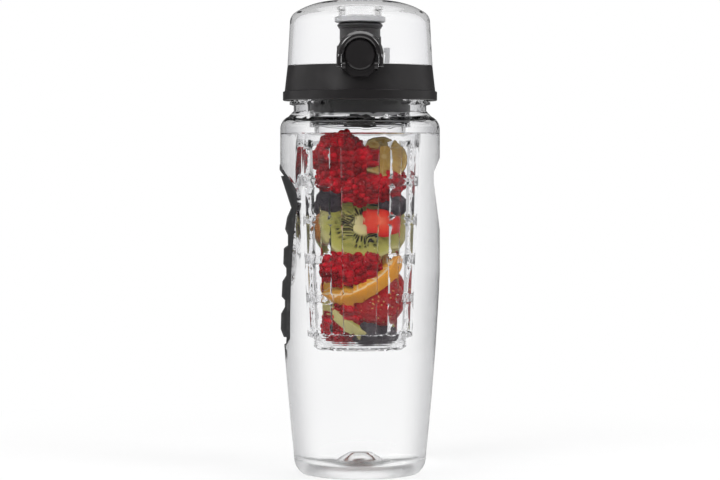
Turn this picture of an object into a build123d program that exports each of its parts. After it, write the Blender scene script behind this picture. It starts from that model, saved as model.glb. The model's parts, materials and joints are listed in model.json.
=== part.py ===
from build123d import *

import os
from math import asin, cos, hypot, pi, sin, sqrt

# Driving dimensions, in millimetres.
# +Z is up, the origin is under the centre of the base, -Y is the latch side.
overall_height = 267.0
body_radius = 45.2
body_wall = 2.5
head_height = 45.0
shoulder_step = 7.6
neck_wall = 2.6
running_gap = 0.3
pin_gap = 0.05
seat_gap = 0.05
overrun = 5.0

# Bottle body
foot_width = 3.5
lip_round = 0.6
punt_round = 1.6
neck_length = 17.4
bead_drop = 13.1
bead_rise = 2.3
bead_half_height = 1.3
shoulder_round_height = 6.9
shoulder_round_step = 4.6
shoulder_slope_height = 3.2
floor_rise = 1.5

# Outlines of the body as shares of its radius and of its height up to the neck:
# foot, heel middle, heel, flank and full width
foot_share, heel_middle_share, heel_share, flank_share = 0.7301, 0.7942, 0.8274, 0.9425
heel_middle_height_share, heel_height_share = 0.0161, 0.0440
flank_height_share, full_height_share = 0.3314, 0.5474
punt_top_share, punt_neck_share, punt_step_share, floor_share = 0.0996, 0.2323, 0.5973, 0.6858
punt_top_height_share, punt_neck_height_share, punt_step_height_share = 0.0538, 0.0313, 0.0215

# Screw thread between neck and lid
thread_pitch = 5.0
neck_thread_half_turns = 3
lid_thread_half_turns = 2
thread_wire = 1.2
neck_thread_sink = 0.9
lid_thread_sink = 0.8
neck_thread_drop = 10.1
thread_phase = -90.0

# Thumb relief on the right side, its heights as shares of the height up to the neck
relief_depth = 3.9
relief_height_shares = {"bottom": 0.6676, "floor_bottom": 0.8016, "floor_top": 0.8309, "top": 0.8715}

# Grip and its pocket on the left side
pocket_depth = 10.5
grip_half_width = 14.5
pad_inset = 3.0
grip_corner = 7.0

# Floor line of the grip pocket: share of the height up to the neck,
# and depth under the body's full radius as a share of the pocket's depth
pocket_floor_shares = {
    "foot": (0.3534, 0.333),
    "low": (0.3754, 0.581),
    "middle": (0.4936, 0.619),
    "waist_start": (0.6403, 0.762),
    "waist": (0.7234, 0.933),
    "deep": (0.7576, 1.0),
    "high": (0.7942, 0.819),
    "edge": (0.8553, -0.038),
}
grip_base_share = 0.21
grip_chamfer_share = 0.067

# Outer outline of the grip pad, in the same two shares
pad_outline_shares = [
    (0.3775, 0.219),
    (0.3990, 0.057),
    (0.4417, 0.076),
    (0.4595, 0.276),
    (0.4791, 0.276),
    (0.4888, 0.105),
    (0.5303, 0.143),
    (0.5474, 0.352),
    (0.5670, 0.352),
    (0.5785, 0.190),
    (0.6208, 0.219),
    (0.6281, 0.438),
    (0.6574, 0.438),
    (0.6745, 0.286),
    (0.7063, 0.390),
    (0.7332, 0.619),
    (0.8201, 0.067),
]

# Neck gasket
gasket_thickness = 2.2
gasket_lip = 0.5
gasket_inset = 0.2

# Lid body
lid_thread_gap = 2.6
lid_wall = 0.9
lid_draft = 1.6
lid_flange_step = 1.0
lid_flange_slope = 0.5
lid_flange_height = 5.0
lid_skirt_drop = 11.6
lid_rim_height = 2.8
lid_rim_width = 2.2
deck_thickness = 3.0
lid_edge_chamfer = 0.4

# Lid insert, the inner tube that carries the basket
insert_gap = 6.5
insert_wall = 4.6
insert_length = 22.2
spigot_step = 3.0
spigot_length = 5.2
boss_wall = 2.3
boss_depth = 4.7
window_count = 4
window_rise = 1.1
window_height = 2.4
window_sill = 0.4
window_half_share = 0.53

# Infuser basket and its seal
infuser_seal_thickness = 1.3
collar_lip = 0.1
collar_foot = 0.9
basket_wall = 1.8
basket_taper = 3.7
basket_length = 125.0
basket_cup_step = 2.6
basket_cup_height = 7.4
basket_ledge_slope = 1.0
tier_count = 5
column_count = 12
ring_bar = 3.8
top_ring_drop = 9.1
slot_share = 0.57
slot_round = 1.5
basket_drain_radius = 1.4
basket_drain_count = 8
basket_drain_share = 0.56
cup_groove_count = 3
cup_groove_depth = 0.5
cup_groove_width = 0.8

# Spout and its ring
spout_radius = 11.55
spout_wall = 2.95
spout_mouth_flare = 1.1
spout_drop = 12.4
spout_lip_width = 0.75
spout_lip_height = 2.9
spout_lip_slope = 0.7
spout_lip_round = 0.6
spout_foot_width = 1.15
spout_foot_height = 1.4
spout_spigot_depth = 1.2
spout_ring_wire = 0.8
spout_ring_inset = 0.2
spout_ring_drop = 1.5

# Hinged cover
cover_wall = 1.9
cover_top_wall = 2.6
cover_draft = 1.4
cover_corner_step = 3.3
cover_side_drop = 12.1
dome_drop = 6.3
dome_flat_radius = 14.0
cover_boss_drop = 10.4
cover_boss_radius = 12.2
cover_boss_wall = 1.6

# Cover seal
seal_wall = 2.2
seal_height = 4.4
seal_floor = 1.6
seal_round = 0.5

# Rear hinge
hinge_rise = 1.5
hinge_radius = 3.2
hinge_stand = 4.3
hinge_pin_radius = 1.0
hinge_pin_overhang = 0.5
knuckle_inner = 5.4
knuckle_width = 3.3
ear_width = 3.0
ear_foot_drop = 11.0
ear_root_depth = 1.6
ear_step = 0.1
torsion_coil_radius = 1.9
torsion_wire = 0.3
torsion_pitch = 1.1
torsion_turns = 7
torsion_leg = 3.4

# Latch: housing, button and catch
latch_rise = 4.7
button_radius = 8.4
button_thickness = 4.0
button_bevel = 0.8
button_travel = 2.2
button_drop = 2.0
housing_rim = 1.2
housing_wall = 1.4
housing_drop = 3.3
housing_depth = 12.3
collar_drop = 0.2
collar_half_width = 12.0
collar_foot_half_width = 4.5
collar_height = 7.3
stem_radius = 2.6
stem_overhang = 1.8
clip_radius = 4.2
clip_thickness = 0.85
clip_groove = 0.6
catch_half_width = 2.0
catch_drop = 3.3
catch_thickness = 1.6
catch_hook_rise = 1.6
catch_hook_depth = 0.7
keeper_lap = 0.8
keeper_root = 3.0
keeper_depth = 1.6
keeper_inset = 1.1
slot_side_gap = 0.5
slot_end_gap = 0.4
slot_back_gap = 0.8
notch_gap = 0.4
keeper_rib_width = 1.2
keeper_rib_drop = 0.5
keeper_rib_depth = 6.8

# Lock ring and its pins
lock_inner_gap = 0.5
lock_width = 4.0
lock_thickness = 2.3
lock_inner_bevel = 0.8
lock_outer_bevel = 1.6
lock_pivot_drop = 1.4
lock_ear_radius = 2.0
lock_ear_width = 2.1
lock_arm_depth = 3.9
lock_leg_inner = 10.4
lock_pin_radius = 0.9
lock_pin_bite = 1.7

# Button spring
spring_gap = 0.65
spring_wire = 0.35
spring_turns = 5

# Vent valve
valve_gap = 0.4
valve_foot_radius = 2.1
valve_foot_height = 1.0
valve_stem_radius = 1.2
valve_bulb_radius = 1.7
valve_bulb_height = 1.2
valve_blade_width = 2.8
valve_blade_top_width = 3.7
valve_blade_depth = 2.4
valve_top_gap = 14.1

# Heights worked out from the stack of pieces
neck_top = overall_height - head_height
neck_root_height = neck_top - neck_length
shoulder_round_top = neck_root_height - shoulder_slope_height
shoulder_height = shoulder_round_top - shoulder_round_height
bead_height = neck_top - bead_drop
neck_thread_start = neck_top - neck_thread_drop
deck_underside = neck_top + gasket_thickness
deck_top = deck_underside + deck_thickness
lid_top = deck_top + lid_rim_height
lid_bottom = neck_top - lid_skirt_drop
lid_flange_top = lid_bottom + lid_flange_height
insert_shoulder_height = deck_underside - insert_length
spigot_bottom = insert_shoulder_height - spigot_length
window_bottom = spigot_bottom + window_rise
window_top = window_bottom + window_height
basket_window_top = window_top - window_sill
basket_collar_top = insert_shoulder_height - infuser_seal_thickness
basket_collar_bottom = spigot_bottom - running_gap - collar_foot
basket_bottom = basket_collar_bottom - basket_length
basket_ledge_height = basket_bottom + basket_cup_height
ring_step = (basket_collar_bottom - top_ring_drop - basket_ledge_height) / tier_count
cover_bottom = lid_top + running_gap
cover_side_top = overall_height - cover_side_drop
cover_boss_bottom = overall_height - cover_boss_drop
spout_top = overall_height - spout_drop
seal_face = spout_top + running_gap
seal_top = seal_face + seal_height
hinge_height = lid_top + hinge_rise
latch_height = lid_top + latch_rise
lock_pivot_height = lid_top - lock_pivot_drop
collar_bottom = lid_top - collar_height
valve_top = spout_top - valve_top_gap

# Radii and reaches worked out from each other
neck_radius = body_radius - shoulder_step
neck_bore_radius = neck_radius - neck_wall
foot_radius = body_radius * foot_share
heel_radius = body_radius * heel_share
shoulder_round_radius = body_radius - shoulder_round_step
lid_bore_radius = neck_radius + lid_thread_gap
lid_top_radius = lid_bore_radius + lid_wall
lid_band_radius = lid_top_radius + lid_draft
lid_flange_radius = lid_band_radius + lid_flange_step
gasket_radius = neck_radius + gasket_lip
gasket_inner_radius = neck_bore_radius - gasket_inset
insert_radius = neck_bore_radius - insert_gap
insert_bore_radius = insert_radius - insert_wall
spigot_radius = insert_radius - spigot_step
boss_bore_radius = insert_bore_radius - boss_wall
basket_collar_radius = insert_radius + collar_lip
basket_collar_bore = spigot_radius + running_gap
basket_top_radius = basket_collar_bore + collar_lip
basket_low_radius = basket_top_radius - basket_taper
basket_cup_radius = basket_low_radius - basket_cup_step
slot_width = 2 * pi * basket_low_radius / column_count * slot_share
spout_bore_radius = spout_radius - spout_wall
spout_mouth_radius = spout_bore_radius + spout_mouth_flare
spout_lip_radius = spout_radius + spout_lip_width
spout_foot_radius = spout_radius + spout_foot_width
spout_ring_radius = spout_lip_radius - spout_ring_inset
cover_side_radius = lid_top_radius - cover_draft
dome_edge_radius = cover_side_radius - cover_corner_step
dome_arc_radius = ((dome_edge_radius - dome_flat_radius) ** 2 + dome_drop**2) / (2 * dome_drop)
seal_radius = cover_boss_radius + seal_wall
hinge_reach = lid_top_radius + hinge_stand
front_reach = hinge_reach + hinge_radius
knuckle_outer = knuckle_inner + knuckle_width
ear_inner = knuckle_outer + running_gap
ear_foot_height = lid_top - ear_foot_drop
ear_root_reach = lid_top_radius - ear_root_depth
housing_radius = button_radius + running_gap + housing_rim
housing_front = front_reach - housing_drop
housing_back = housing_front - housing_depth
housing_floor = housing_back + housing_wall
collar_front = housing_front - collar_drop
button_front = front_reach - button_drop
button_back = button_front - button_thickness
keeper_front = lid_top_radius - keeper_inset
keeper_back = keeper_front - keeper_depth
keeper_half_width = catch_half_width + 2 * pin_gap
catch_top = latch_height + button_radius - catch_drop + catch_thickness
catch_bottom = latch_height + button_radius - catch_drop
catch_hook_top = catch_top + catch_hook_rise
catch_end = keeper_back - running_gap - catch_hook_depth
keeper_bottom = catch_hook_top - keeper_lap
notch_radius = housing_radius + notch_gap
keeper_top = latch_height + notch_radius + keeper_rib_width / 2
keeper_rib_front = housing_front - keeper_rib_drop
keeper_rib_back = keeper_rib_front - keeper_rib_depth
lock_inner_radius = button_radius + lock_inner_gap
lock_outer_radius = lock_inner_radius + lock_width
lock_pivot_reach = front_reach - lock_ear_radius
lock_back = lock_pivot_reach - lock_thickness / 2
lock_ear_outer = lock_leg_inner - running_gap
lock_pin_start = lock_ear_outer - lock_pin_bite
lock_arm_back = lid_top_radius - lock_arm_depth
spring_coil_radius = stem_radius + spring_wire + spring_gap
valve_x = spout_foot_radius + valve_gap + valve_foot_radius
grip_base_thickness = pocket_depth * grip_base_share
grip_edge_chamfer = pocket_depth * grip_chamfer_share


def coil_points(coil_radius, pitch, half_turns, start):
    """Ends and middles of the tilted half circles that make up a coil."""
    reach = sqrt(coil_radius**2 + (pitch / 4) ** 2)
    points = []
    for half in range(half_turns):
        side = 1 if half % 2 == 0 else -1
        low = start + half * pitch / 2
        points.append(
            (
                (side * coil_radius, 0, low),
                (0, side * reach, low + pitch / 4),
                (-side * coil_radius, 0, low + pitch / 2),
            )
        )
    return points


def coil_tube(frame, coil_radius, wire_radius, pitch, half_turns, start, lead=0.0):
    """One unbroken tube round the frame's Z axis, with straight leads if asked."""
    arcs = coil_points(coil_radius, pitch, half_turns, start)
    first, last = arcs[0][0], arcs[-1][-1]
    with BuildPart() as tube:
        with BuildLine(frame) as route:
            if lead:
                Line((first[0], -lead, first[2]), first)
            for low, middle, high in arcs:
                ThreePointArc(low, middle, high)
            if lead:
                Line(last, (last[0], lead, last[2]))
        section_plane = Plane(origin=route.line @ 0, z_dir=route.line % 0)
        with BuildSketch(section_plane):
            Circle(wire_radius)
        sweep(path=route.line)
        if not lead:
            with Locations(route.line @ 0, route.line @ 1):
                Sphere(wire_radius)
    return tube.part


def least_coil_gap(coil_radius, wire_radius, pitch):
    """Least space between neighbouring turns, measured on points of two turns."""
    steps = 90
    turn = []
    reach = sqrt(coil_radius**2 + (pitch / 4) ** 2)
    for step in range(2 * steps):
        angle = 2 * pi * step / steps
        half = int(angle // pi)
        within = angle - half * pi
        side = 1 if half % 2 == 0 else -1
        centre = pitch * (half / 2 + 1 / 4)
        turn.append(
            (
                side * coil_radius * cos(within),
                side * reach * sin(within),
                centre - pitch / 4 * cos(within),
            )
        )
    first, second = turn[:steps], turn[steps:]
    least = min(
        sqrt(sum((a - b) ** 2 for a, b in zip(p, q))) for p in first[: steps // 2] for q in second
    )
    return least - 2 * wire_radius


def pocket_point(name, shift):
    """A named point of the pocket's floor line, moved towards the axis by shift."""
    height_share, depth_share = pocket_floor_shares[name]
    return (shift - body_radius + depth_share * pocket_depth, height_share * neck_root_height)


def pocket_floor(shift):
    """Floor line of the grip pocket, drawn upwards, moved towards the axis by shift."""
    low, middle, waist_start, waist, deep, high, edge = (
        pocket_point(name, shift)
        for name in ("low", "middle", "waist_start", "waist", "deep", "high", "edge")
    )
    ThreePointArc(low, middle, waist_start)
    Line(waist_start, waist)
    ThreePointArc(waist, deep, high)
    Line(high, edge)
    return low, edge


def pocket_cutter(shift):
    """Solid that clears the grip pocket right through, moved towards the axis by shift."""
    outside = -(body_radius + overrun)
    foot_x, foot_z = pocket_point("foot", shift)
    foot = (foot_x, foot_z - shift)
    with BuildPart() as cutter:
        with BuildSketch(Plane.XZ):
            with BuildLine():
                low, edge = pocket_floor(shift)
                Polyline(edge, (outside, edge[1]), (outside, foot[1]), foot, low)
            make_face()
        extrude(amount=body_radius, both=True)
    return cutter.part


def relief_cutter(shift):
    """Solid that clears the thumb relief, its floor moved towards the axis by shift."""
    bottom, floor_bottom, floor_top, top = (
        relief_height_shares[name] * neck_root_height
        for name in ("bottom", "floor_bottom", "floor_top", "top")
    )
    floor = body_radius - relief_depth - shift
    outside = body_radius + overrun
    slope = (outside - floor) / relief_depth
    with BuildPart() as cutter:
        with BuildSketch(Plane.XZ):
            with BuildLine():
                Polyline(
                    (floor, floor_bottom),
                    (floor, floor_top),
                    (outside, floor_top + slope * (top - floor_top)),
                    (outside, floor_bottom - slope * (floor_bottom - bottom)),
                    close=True,
                )
            make_face()
        extrude(amount=body_radius, both=True)
    return cutter.part


def body_point(radius_share, height_share, inset=0.0, lift=0.0):
    """A point of the body's outline, moved in and up from its shares."""
    return (body_radius * radius_share - inset, neck_root_height * height_share + lift)


# Space inside the bottle
with BuildPart() as cavity:
    inner_radius = body_radius - body_wall
    with BuildSketch(Plane.XZ):
        with BuildLine():
            floor_top = neck_root_height * punt_top_height_share + body_wall
            floor_end = body_point(floor_share, punt_step_height_share, lift=body_wall)
            FilletPolyline(
                (0, floor_top),
                body_point(punt_top_share, punt_top_height_share, lift=body_wall),
                body_point(punt_neck_share, punt_neck_height_share, lift=body_wall),
                floor_end,
                radius=punt_round,
            )
            low_wall = body_point(heel_share, heel_height_share, body_wall, floor_rise)
            TangentArc(floor_end, low_wall, tangent=(1, 0))
            full_wall = (inner_radius, neck_root_height * full_height_share)
            ThreePointArc(
                low_wall, body_point(flank_share, flank_height_share, body_wall), full_wall
            )
            Line(full_wall, (inner_radius, shoulder_height))
            round_end = (shoulder_round_radius - body_wall, shoulder_round_top - body_wall)
            TangentArc((inner_radius, shoulder_height), round_end, tangent=(0, 1))
            Polyline(
                round_end,
                (neck_bore_radius, neck_root_height - body_wall),
                (neck_bore_radius, neck_top + overrun),
                (0, neck_top + overrun),
                (0, floor_top),
            )
        make_face()
    revolve(axis=Axis.Z)
    add(pocket_cutter(body_wall), mode=Mode.SUBTRACT)
    add(relief_cutter(body_wall), mode=Mode.SUBTRACT)

fill_volume = (cavity.part & Pos(0, 0, neck_root_height / 2) * Box(
    2 * body_radius, 2 * body_radius, neck_root_height
)).volume
print(f"volume to the neck: {fill_volume / 1000:.0f} ml")

# Bottle body: blown shell with foot ring, punt, grip pocket, relief and threaded neck
neck_thread = coil_tube(
    Plane.XY.rotated((0, 0, thread_phase)),
    neck_radius - neck_thread_sink + thread_wire,
    thread_wire,
    thread_pitch,
    neck_thread_half_turns,
    neck_thread_start,
)
with BuildPart() as bottle_body:
    with BuildSketch(Plane.XZ):
        with BuildLine():
            punt_height = neck_root_height * punt_top_height_share
            FilletPolyline(
                (0, punt_height),
                body_point(punt_top_share, punt_top_height_share),
                body_point(punt_neck_share, punt_neck_height_share),
                body_point(punt_step_share, punt_step_height_share),
                (foot_radius - foot_width, 0),
                radius=punt_round,
            )
            Line((foot_radius - foot_width, 0), (foot_radius, 0))
            heel = body_point(heel_share, heel_height_share)
            ThreePointArc(
                (foot_radius, 0), body_point(heel_middle_share, heel_middle_height_share), heel
            )
            full = (body_radius, neck_root_height * full_height_share)
            ThreePointArc(heel, body_point(flank_share, flank_height_share), full)
            Line(full, (body_radius, shoulder_height))
            outer_round_end = (shoulder_round_radius, shoulder_round_top)
            TangentArc((body_radius, shoulder_height), outer_round_end, tangent=(0, 1))
            Polyline(
                outer_round_end,
                (neck_radius, neck_root_height),
                (neck_radius, bead_height - bead_half_height),
                (neck_radius + bead_rise, bead_height - bead_half_height / 2),
                (neck_radius + bead_rise, bead_height + bead_half_height / 2),
                (neck_radius, bead_height + bead_half_height),
                (neck_radius, neck_top - lip_round),
                (neck_radius - lip_round, neck_top),
                (0, neck_top),
                (0, punt_height),
            )
        make_face()
    revolve(axis=Axis.Z)
    add(pocket_cutter(0), mode=Mode.SUBTRACT)
    add(relief_cutter(0), mode=Mode.SUBTRACT)
    add(neck_thread)
    add(cavity.part, mode=Mode.SUBTRACT)
bottle_body.part.label = "bottle_body"

# Grip base: strip that lines the floor of the pocket
with BuildPart() as grip_base:
    with BuildSketch(Plane.XZ):
        with BuildLine():
            inner_low, inner_edge = pocket_floor(0)
            outer_low, outer_edge = pocket_floor(-grip_base_thickness)
            Line(inner_edge, outer_edge)
            Polyline(inner_low, pocket_point("foot", 0), outer_low)
        make_face()
    extrude(amount=grip_half_width, both=True)
    strip_bottom, strip_top = pocket_point("foot", 0)[1], inner_edge[1]
    with BuildSketch(Plane.YZ):
        with Locations((0, (strip_bottom + strip_top) / 2)):
            RectangleRounded(2 * grip_half_width, strip_top - strip_bottom, grip_corner)
    extrude(amount=-body_radius, mode=Mode.INTERSECT)
grip_base.part.label = "grip_base"

# Grip pad: scalloped block on the grip base
with BuildPart() as pad_blank:
    with BuildSketch(Plane.XZ):
        with BuildLine():
            outline = [
                (depth_share * pocket_depth - body_radius, height_share * neck_root_height)
                for height_share, depth_share in pad_outline_shares
            ]
            inside = pocket_depth - body_radius
            Polyline((inside, outline[0][1]), *outline, (inside, outline[-1][1]), close=True)
        make_face()
    extrude(amount=grip_half_width - pad_inset, both=True)

with BuildPart() as grip_pad:
    add(pad_blank.part)
    with BuildSketch(Plane.XZ):
        with BuildLine():
            low, edge = pocket_floor(-grip_base_thickness)
            Polyline(edge, (0, edge[1]), (0, low[1]), low)
        make_face()
    extrude(amount=body_radius, both=True, mode=Mode.SUBTRACT)
    long_edges = [
        e
        for e in grip_pad.edges()
        if abs(e.center().Y) > grip_half_width - pad_inset - seat_gap
        and any(
            hypot(e.center().X - (a[0] + b[0]) / 2, e.center().Z - (a[1] + b[1]) / 2) < seat_gap
            for a, b in zip(outline, outline[1:])
        )
    ]
    chamfer(long_edges, grip_edge_chamfer)
grip_pad.part.label = "grip_pad"

# Neck gasket: flat ring between the rim of the neck and the lid's deck
with BuildPart() as neck_gasket:
    with BuildSketch(Plane.XY.offset(neck_top)):
        Circle(gasket_radius)
        Circle(gasket_inner_radius, mode=Mode.SUBTRACT)
    extrude(amount=gasket_thickness)
neck_gasket.part.label = "neck_gasket"

# Lid body: band, deck, latch housing, lock ring ears and hinge ears
lid_thread = coil_tube(
    Plane.XY.rotated((0, 0, thread_phase)),
    lid_bore_radius + lid_thread_sink - thread_wire,
    thread_wire,
    thread_pitch,
    lid_thread_half_turns,
    neck_thread_start + thread_pitch / 2,
)
with BuildPart() as lid_body:
    with BuildSketch(Plane.XZ):
        with BuildLine():
            Polyline(
                (0, lid_bottom),
                (lid_flange_radius - lid_edge_chamfer, lid_bottom),
                (lid_flange_radius, lid_bottom + lid_edge_chamfer),
                (lid_flange_radius, lid_flange_top),
                (lid_band_radius, lid_flange_top + lid_flange_slope),
                (lid_top_radius, lid_top),
                (lid_top_radius - lid_rim_width, lid_top),
                (lid_top_radius - lid_rim_width, deck_top),
                (0, deck_top),
                close=True,
            )
        make_face()
    revolve(axis=Axis.Z)
    # Latch housing
    with BuildSketch(Plane.XZ.offset(housing_back)):
        with Locations((0, latch_height)):
            Circle(housing_radius)
    extrude(amount=housing_front - housing_back)
    with BuildSketch(Plane.XZ.offset(housing_back)):
        with Locations((0, (latch_height + deck_top) / 2)):
            Rectangle(2 * housing_radius, latch_height - deck_top)
    extrude(amount=collar_front - housing_back)
    # Collar under the latch
    with BuildSketch(Plane.XZ.offset(housing_back)):
        with BuildLine():
            Polyline(
                (-collar_half_width, lid_top),
                (collar_half_width, lid_top),
                (collar_foot_half_width, collar_bottom),
                (-collar_foot_half_width, collar_bottom),
                close=True,
            )
        make_face()
    extrude(amount=collar_front - housing_back)
    # Ears of the lock ring
    for side in (-1, 1):
        ear_plane = Plane(
            origin=(side * (lock_ear_outer - lock_ear_width / 2), 0, 0),
            x_dir=(0, 1, 0),
            z_dir=(1, 0, 0),
        )
        with BuildSketch(ear_plane):
            with Locations((-lock_pivot_reach, lock_pivot_height)):
                Circle(lock_ear_radius)
            arm_bottom = lock_pivot_height - lock_ear_radius
            arm_top = lid_top - ear_step
            with Locations((-(lock_pivot_reach + lock_arm_back) / 2, (arm_bottom + arm_top) / 2)):
                Rectangle(lock_pivot_reach - lock_arm_back, arm_top - arm_bottom)
        extrude(amount=lock_ear_width / 2, both=True)
    # Ears of the rear hinge
    for side in (-1, 1):
        ear_plane = Plane(
            origin=(side * (ear_inner + ear_width / 2), 0, 0), x_dir=(0, 1, 0), z_dir=(1, 0, 0)
        )
        with BuildSketch(ear_plane):
            with Locations((hinge_reach, hinge_height)):
                Circle(hinge_radius)
            with BuildLine():
                Polyline(
                    (hinge_reach - hinge_radius, hinge_height),
                    (hinge_reach - hinge_radius, lid_top - ear_step),
                    (ear_root_reach, lid_top - ear_step),
                    (ear_root_reach, ear_foot_height),
                    (lid_band_radius, ear_foot_height),
                    (hinge_reach + hinge_radius, hinge_height),
                    close=True,
                )
            make_face()
        extrude(amount=ear_width / 2, both=True)
    # Bore over the neck, with the boss that holds the insert left standing
    with BuildSketch(Plane.XY.offset(lid_bottom)):
        Circle(lid_bore_radius)
    extrude(amount=deck_underside - lid_bottom, mode=Mode.SUBTRACT)
    with BuildSketch(Plane.XY.offset(deck_underside)):
        Circle(insert_bore_radius - seat_gap)
        Circle(boss_bore_radius, mode=Mode.SUBTRACT)
    extrude(amount=-boss_depth)
    add(lid_thread)
    # Holes for the spout and the valve
    with BuildSketch(Plane.XY.offset(deck_underside)):
        Circle(spout_radius + seat_gap)
        with Locations((valve_x, 0)):
            Circle(valve_stem_radius + seat_gap)
    extrude(amount=deck_thickness, mode=Mode.SUBTRACT)
    # Bore of the latch button, its stem hole and the slot for the catch
    with BuildSketch(Plane.XZ.offset(housing_floor)):
        with Locations((0, latch_height)):
            Circle(button_radius + running_gap)
    extrude(amount=housing_front - housing_floor, mode=Mode.SUBTRACT)
    with BuildSketch(Plane.XZ.offset(housing_back)):
        with Locations((0, latch_height)):
            Circle(stem_radius + 2 * pin_gap)
    extrude(amount=housing_wall, mode=Mode.SUBTRACT)
    slot_back = keeper_back - slot_back_gap
    with BuildSketch(Plane.XZ.offset(slot_back)):
        with Locations((0, latch_height + housing_radius)):
            Rectangle(2 * (keeper_half_width + slot_side_gap), housing_radius)
    extrude(amount=keeper_front + slot_end_gap - slot_back, mode=Mode.SUBTRACT)
    # Pin holes
    with BuildSketch(Plane.YZ):
        with Locations((hinge_reach, hinge_height)):
            Circle(hinge_pin_radius + pin_gap)
        with Locations((-lock_pivot_reach, lock_pivot_height)):
            Circle(lock_pin_radius + pin_gap)
    extrude(amount=body_radius, both=True, mode=Mode.SUBTRACT)
lid_body.part.label = "lid_body"

# Lid insert: inner tube with a stepped spigot and four flow windows
with BuildPart() as lid_insert:
    with BuildSketch(Plane.XZ):
        with BuildLine():
            Polyline(
                (insert_bore_radius, spigot_bottom),
                (spigot_radius, spigot_bottom),
                (spigot_radius, insert_shoulder_height),
                (insert_radius, insert_shoulder_height),
                (insert_radius, deck_underside),
                (insert_bore_radius, deck_underside),
                close=True,
            )
        make_face()
    revolve(axis=Axis.Z)
    with BuildSketch(Plane.XY.offset(window_bottom)):
        with PolarLocations(spigot_radius, window_count, start_angle=180 / window_count):
            Rectangle(spigot_radius, 2 * window_half_share * spigot_radius)
    extrude(amount=window_top - window_bottom, mode=Mode.SUBTRACT)
lid_insert.part.label = "lid_insert"

# Infuser seal: ring between the insert's shoulder and the basket collar
with BuildPart() as infuser_seal:
    with BuildSketch(Plane.XY.offset(basket_collar_top)):
        Circle(insert_radius)
        Circle(spigot_radius + seat_gap, mode=Mode.SUBTRACT)
    extrude(amount=insert_shoulder_height - basket_collar_top)
infuser_seal.part.label = "infuser_seal"

# Infuser basket: collar with windows, tapered slotted wall and a closed cup
with BuildPart() as slot_cutter:
    for tier in range(tier_count):
        tier_height = basket_ledge_height + (tier + 1 / 2) * ring_step
        with BuildSketch(Plane.YZ):
            with Locations((0, tier_height)):
                RectangleRounded(slot_width, ring_step - ring_bar, slot_round)
        extrude(amount=body_radius)

with BuildPart() as infuser_basket:
    cup_top = basket_ledge_height - basket_ledge_slope
    inner_cup = basket_cup_radius - basket_wall
    with BuildSketch(Plane.XZ):
        with BuildLine():
            Polyline(
                (0, basket_bottom),
                (basket_cup_radius - basket_wall, basket_bottom),
                (basket_cup_radius, basket_bottom + basket_wall),
                (basket_cup_radius, cup_top),
                (basket_low_radius, basket_ledge_height),
                (basket_top_radius, basket_collar_bottom),
                (basket_collar_radius, basket_collar_bottom),
                (basket_collar_radius, basket_collar_top),
                (basket_collar_bore, basket_collar_top),
                (basket_collar_bore, spigot_bottom - running_gap),
                (basket_top_radius - basket_wall, spigot_bottom - running_gap),
                (basket_low_radius - basket_wall, basket_ledge_height + basket_wall),
                (inner_cup, cup_top + basket_wall),
                (inner_cup, basket_bottom + basket_wall),
                (0, basket_bottom + basket_wall),
                close=True,
            )
        make_face()
    revolve(axis=Axis.Z)
    with PolarLocations(0, column_count):
        add(slot_cutter.part, mode=Mode.SUBTRACT)
    with BuildSketch(Plane.XY.offset(window_bottom)):
        with PolarLocations(basket_collar_radius, window_count, start_angle=180 / window_count):
            Rectangle(basket_collar_radius / 2, 2 * window_half_share * spigot_radius)
    extrude(amount=basket_window_top - window_bottom, mode=Mode.SUBTRACT)
    with BuildSketch(Plane.XY.offset(basket_bottom)):
        with PolarLocations(basket_drain_share * basket_cup_radius, basket_drain_count):
            Circle(basket_drain_radius)
    extrude(amount=basket_wall, mode=Mode.SUBTRACT)
    groove_step = (cup_top - basket_bottom - basket_wall) / (cup_groove_count + 1)
    for groove in range(cup_groove_count):
        groove_height = basket_bottom + basket_wall + (groove + 1) * groove_step
        with BuildSketch(Plane.XY.offset(groove_height)):
            Circle(basket_cup_radius)
            Circle(basket_cup_radius - cup_groove_depth, mode=Mode.SUBTRACT)
        extrude(amount=cup_groove_width / 2, both=True, mode=Mode.SUBTRACT)
infuser_basket.part.label = "infuser_basket"

# Spout: mouthpiece pressed into the deck
with BuildPart() as spout:
    with BuildSketch(Plane.XZ):
        with BuildLine():
            foot_top = deck_top + spout_foot_height
            lip_bottom = spout_top - spout_lip_height
            Polyline(
                (spout_bore_radius, deck_underside - spout_spigot_depth),
                (spout_radius, deck_underside - spout_spigot_depth),
                (spout_radius, deck_top),
                (spout_foot_radius, deck_top),
                (spout_foot_radius, foot_top - spout_foot_height / 2),
                (spout_foot_radius - spout_foot_height / 2, foot_top),
                (spout_radius, foot_top),
                (spout_radius, lip_bottom - spout_lip_slope),
                (spout_lip_radius, lip_bottom),
                (spout_lip_radius, spout_top - spout_lip_round),
                (spout_lip_radius - spout_lip_round, spout_top),
                (spout_mouth_radius, spout_top),
                (spout_bore_radius, lip_bottom - spout_lip_slope),
                close=True,
            )
        make_face()
    revolve(axis=Axis.Z)
    with Locations((0, 0, spout_top - spout_ring_drop)):
        Torus(spout_ring_radius, spout_ring_wire + 2 * pin_gap, mode=Mode.SUBTRACT)
spout.part.label = "spout"

# Spout ring: round sealing ring in the groove of the spout lip
with BuildPart() as spout_ring:
    with Locations((0, 0, spout_top - spout_ring_drop)):
        Torus(spout_ring_radius, spout_ring_wire)
spout_ring.part.label = "spout_ring"

# Cover: clear domed shell with the latch notch, keeper, seal boss and hinge knuckles
dome_centre = overall_height - dome_arc_radius


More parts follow.
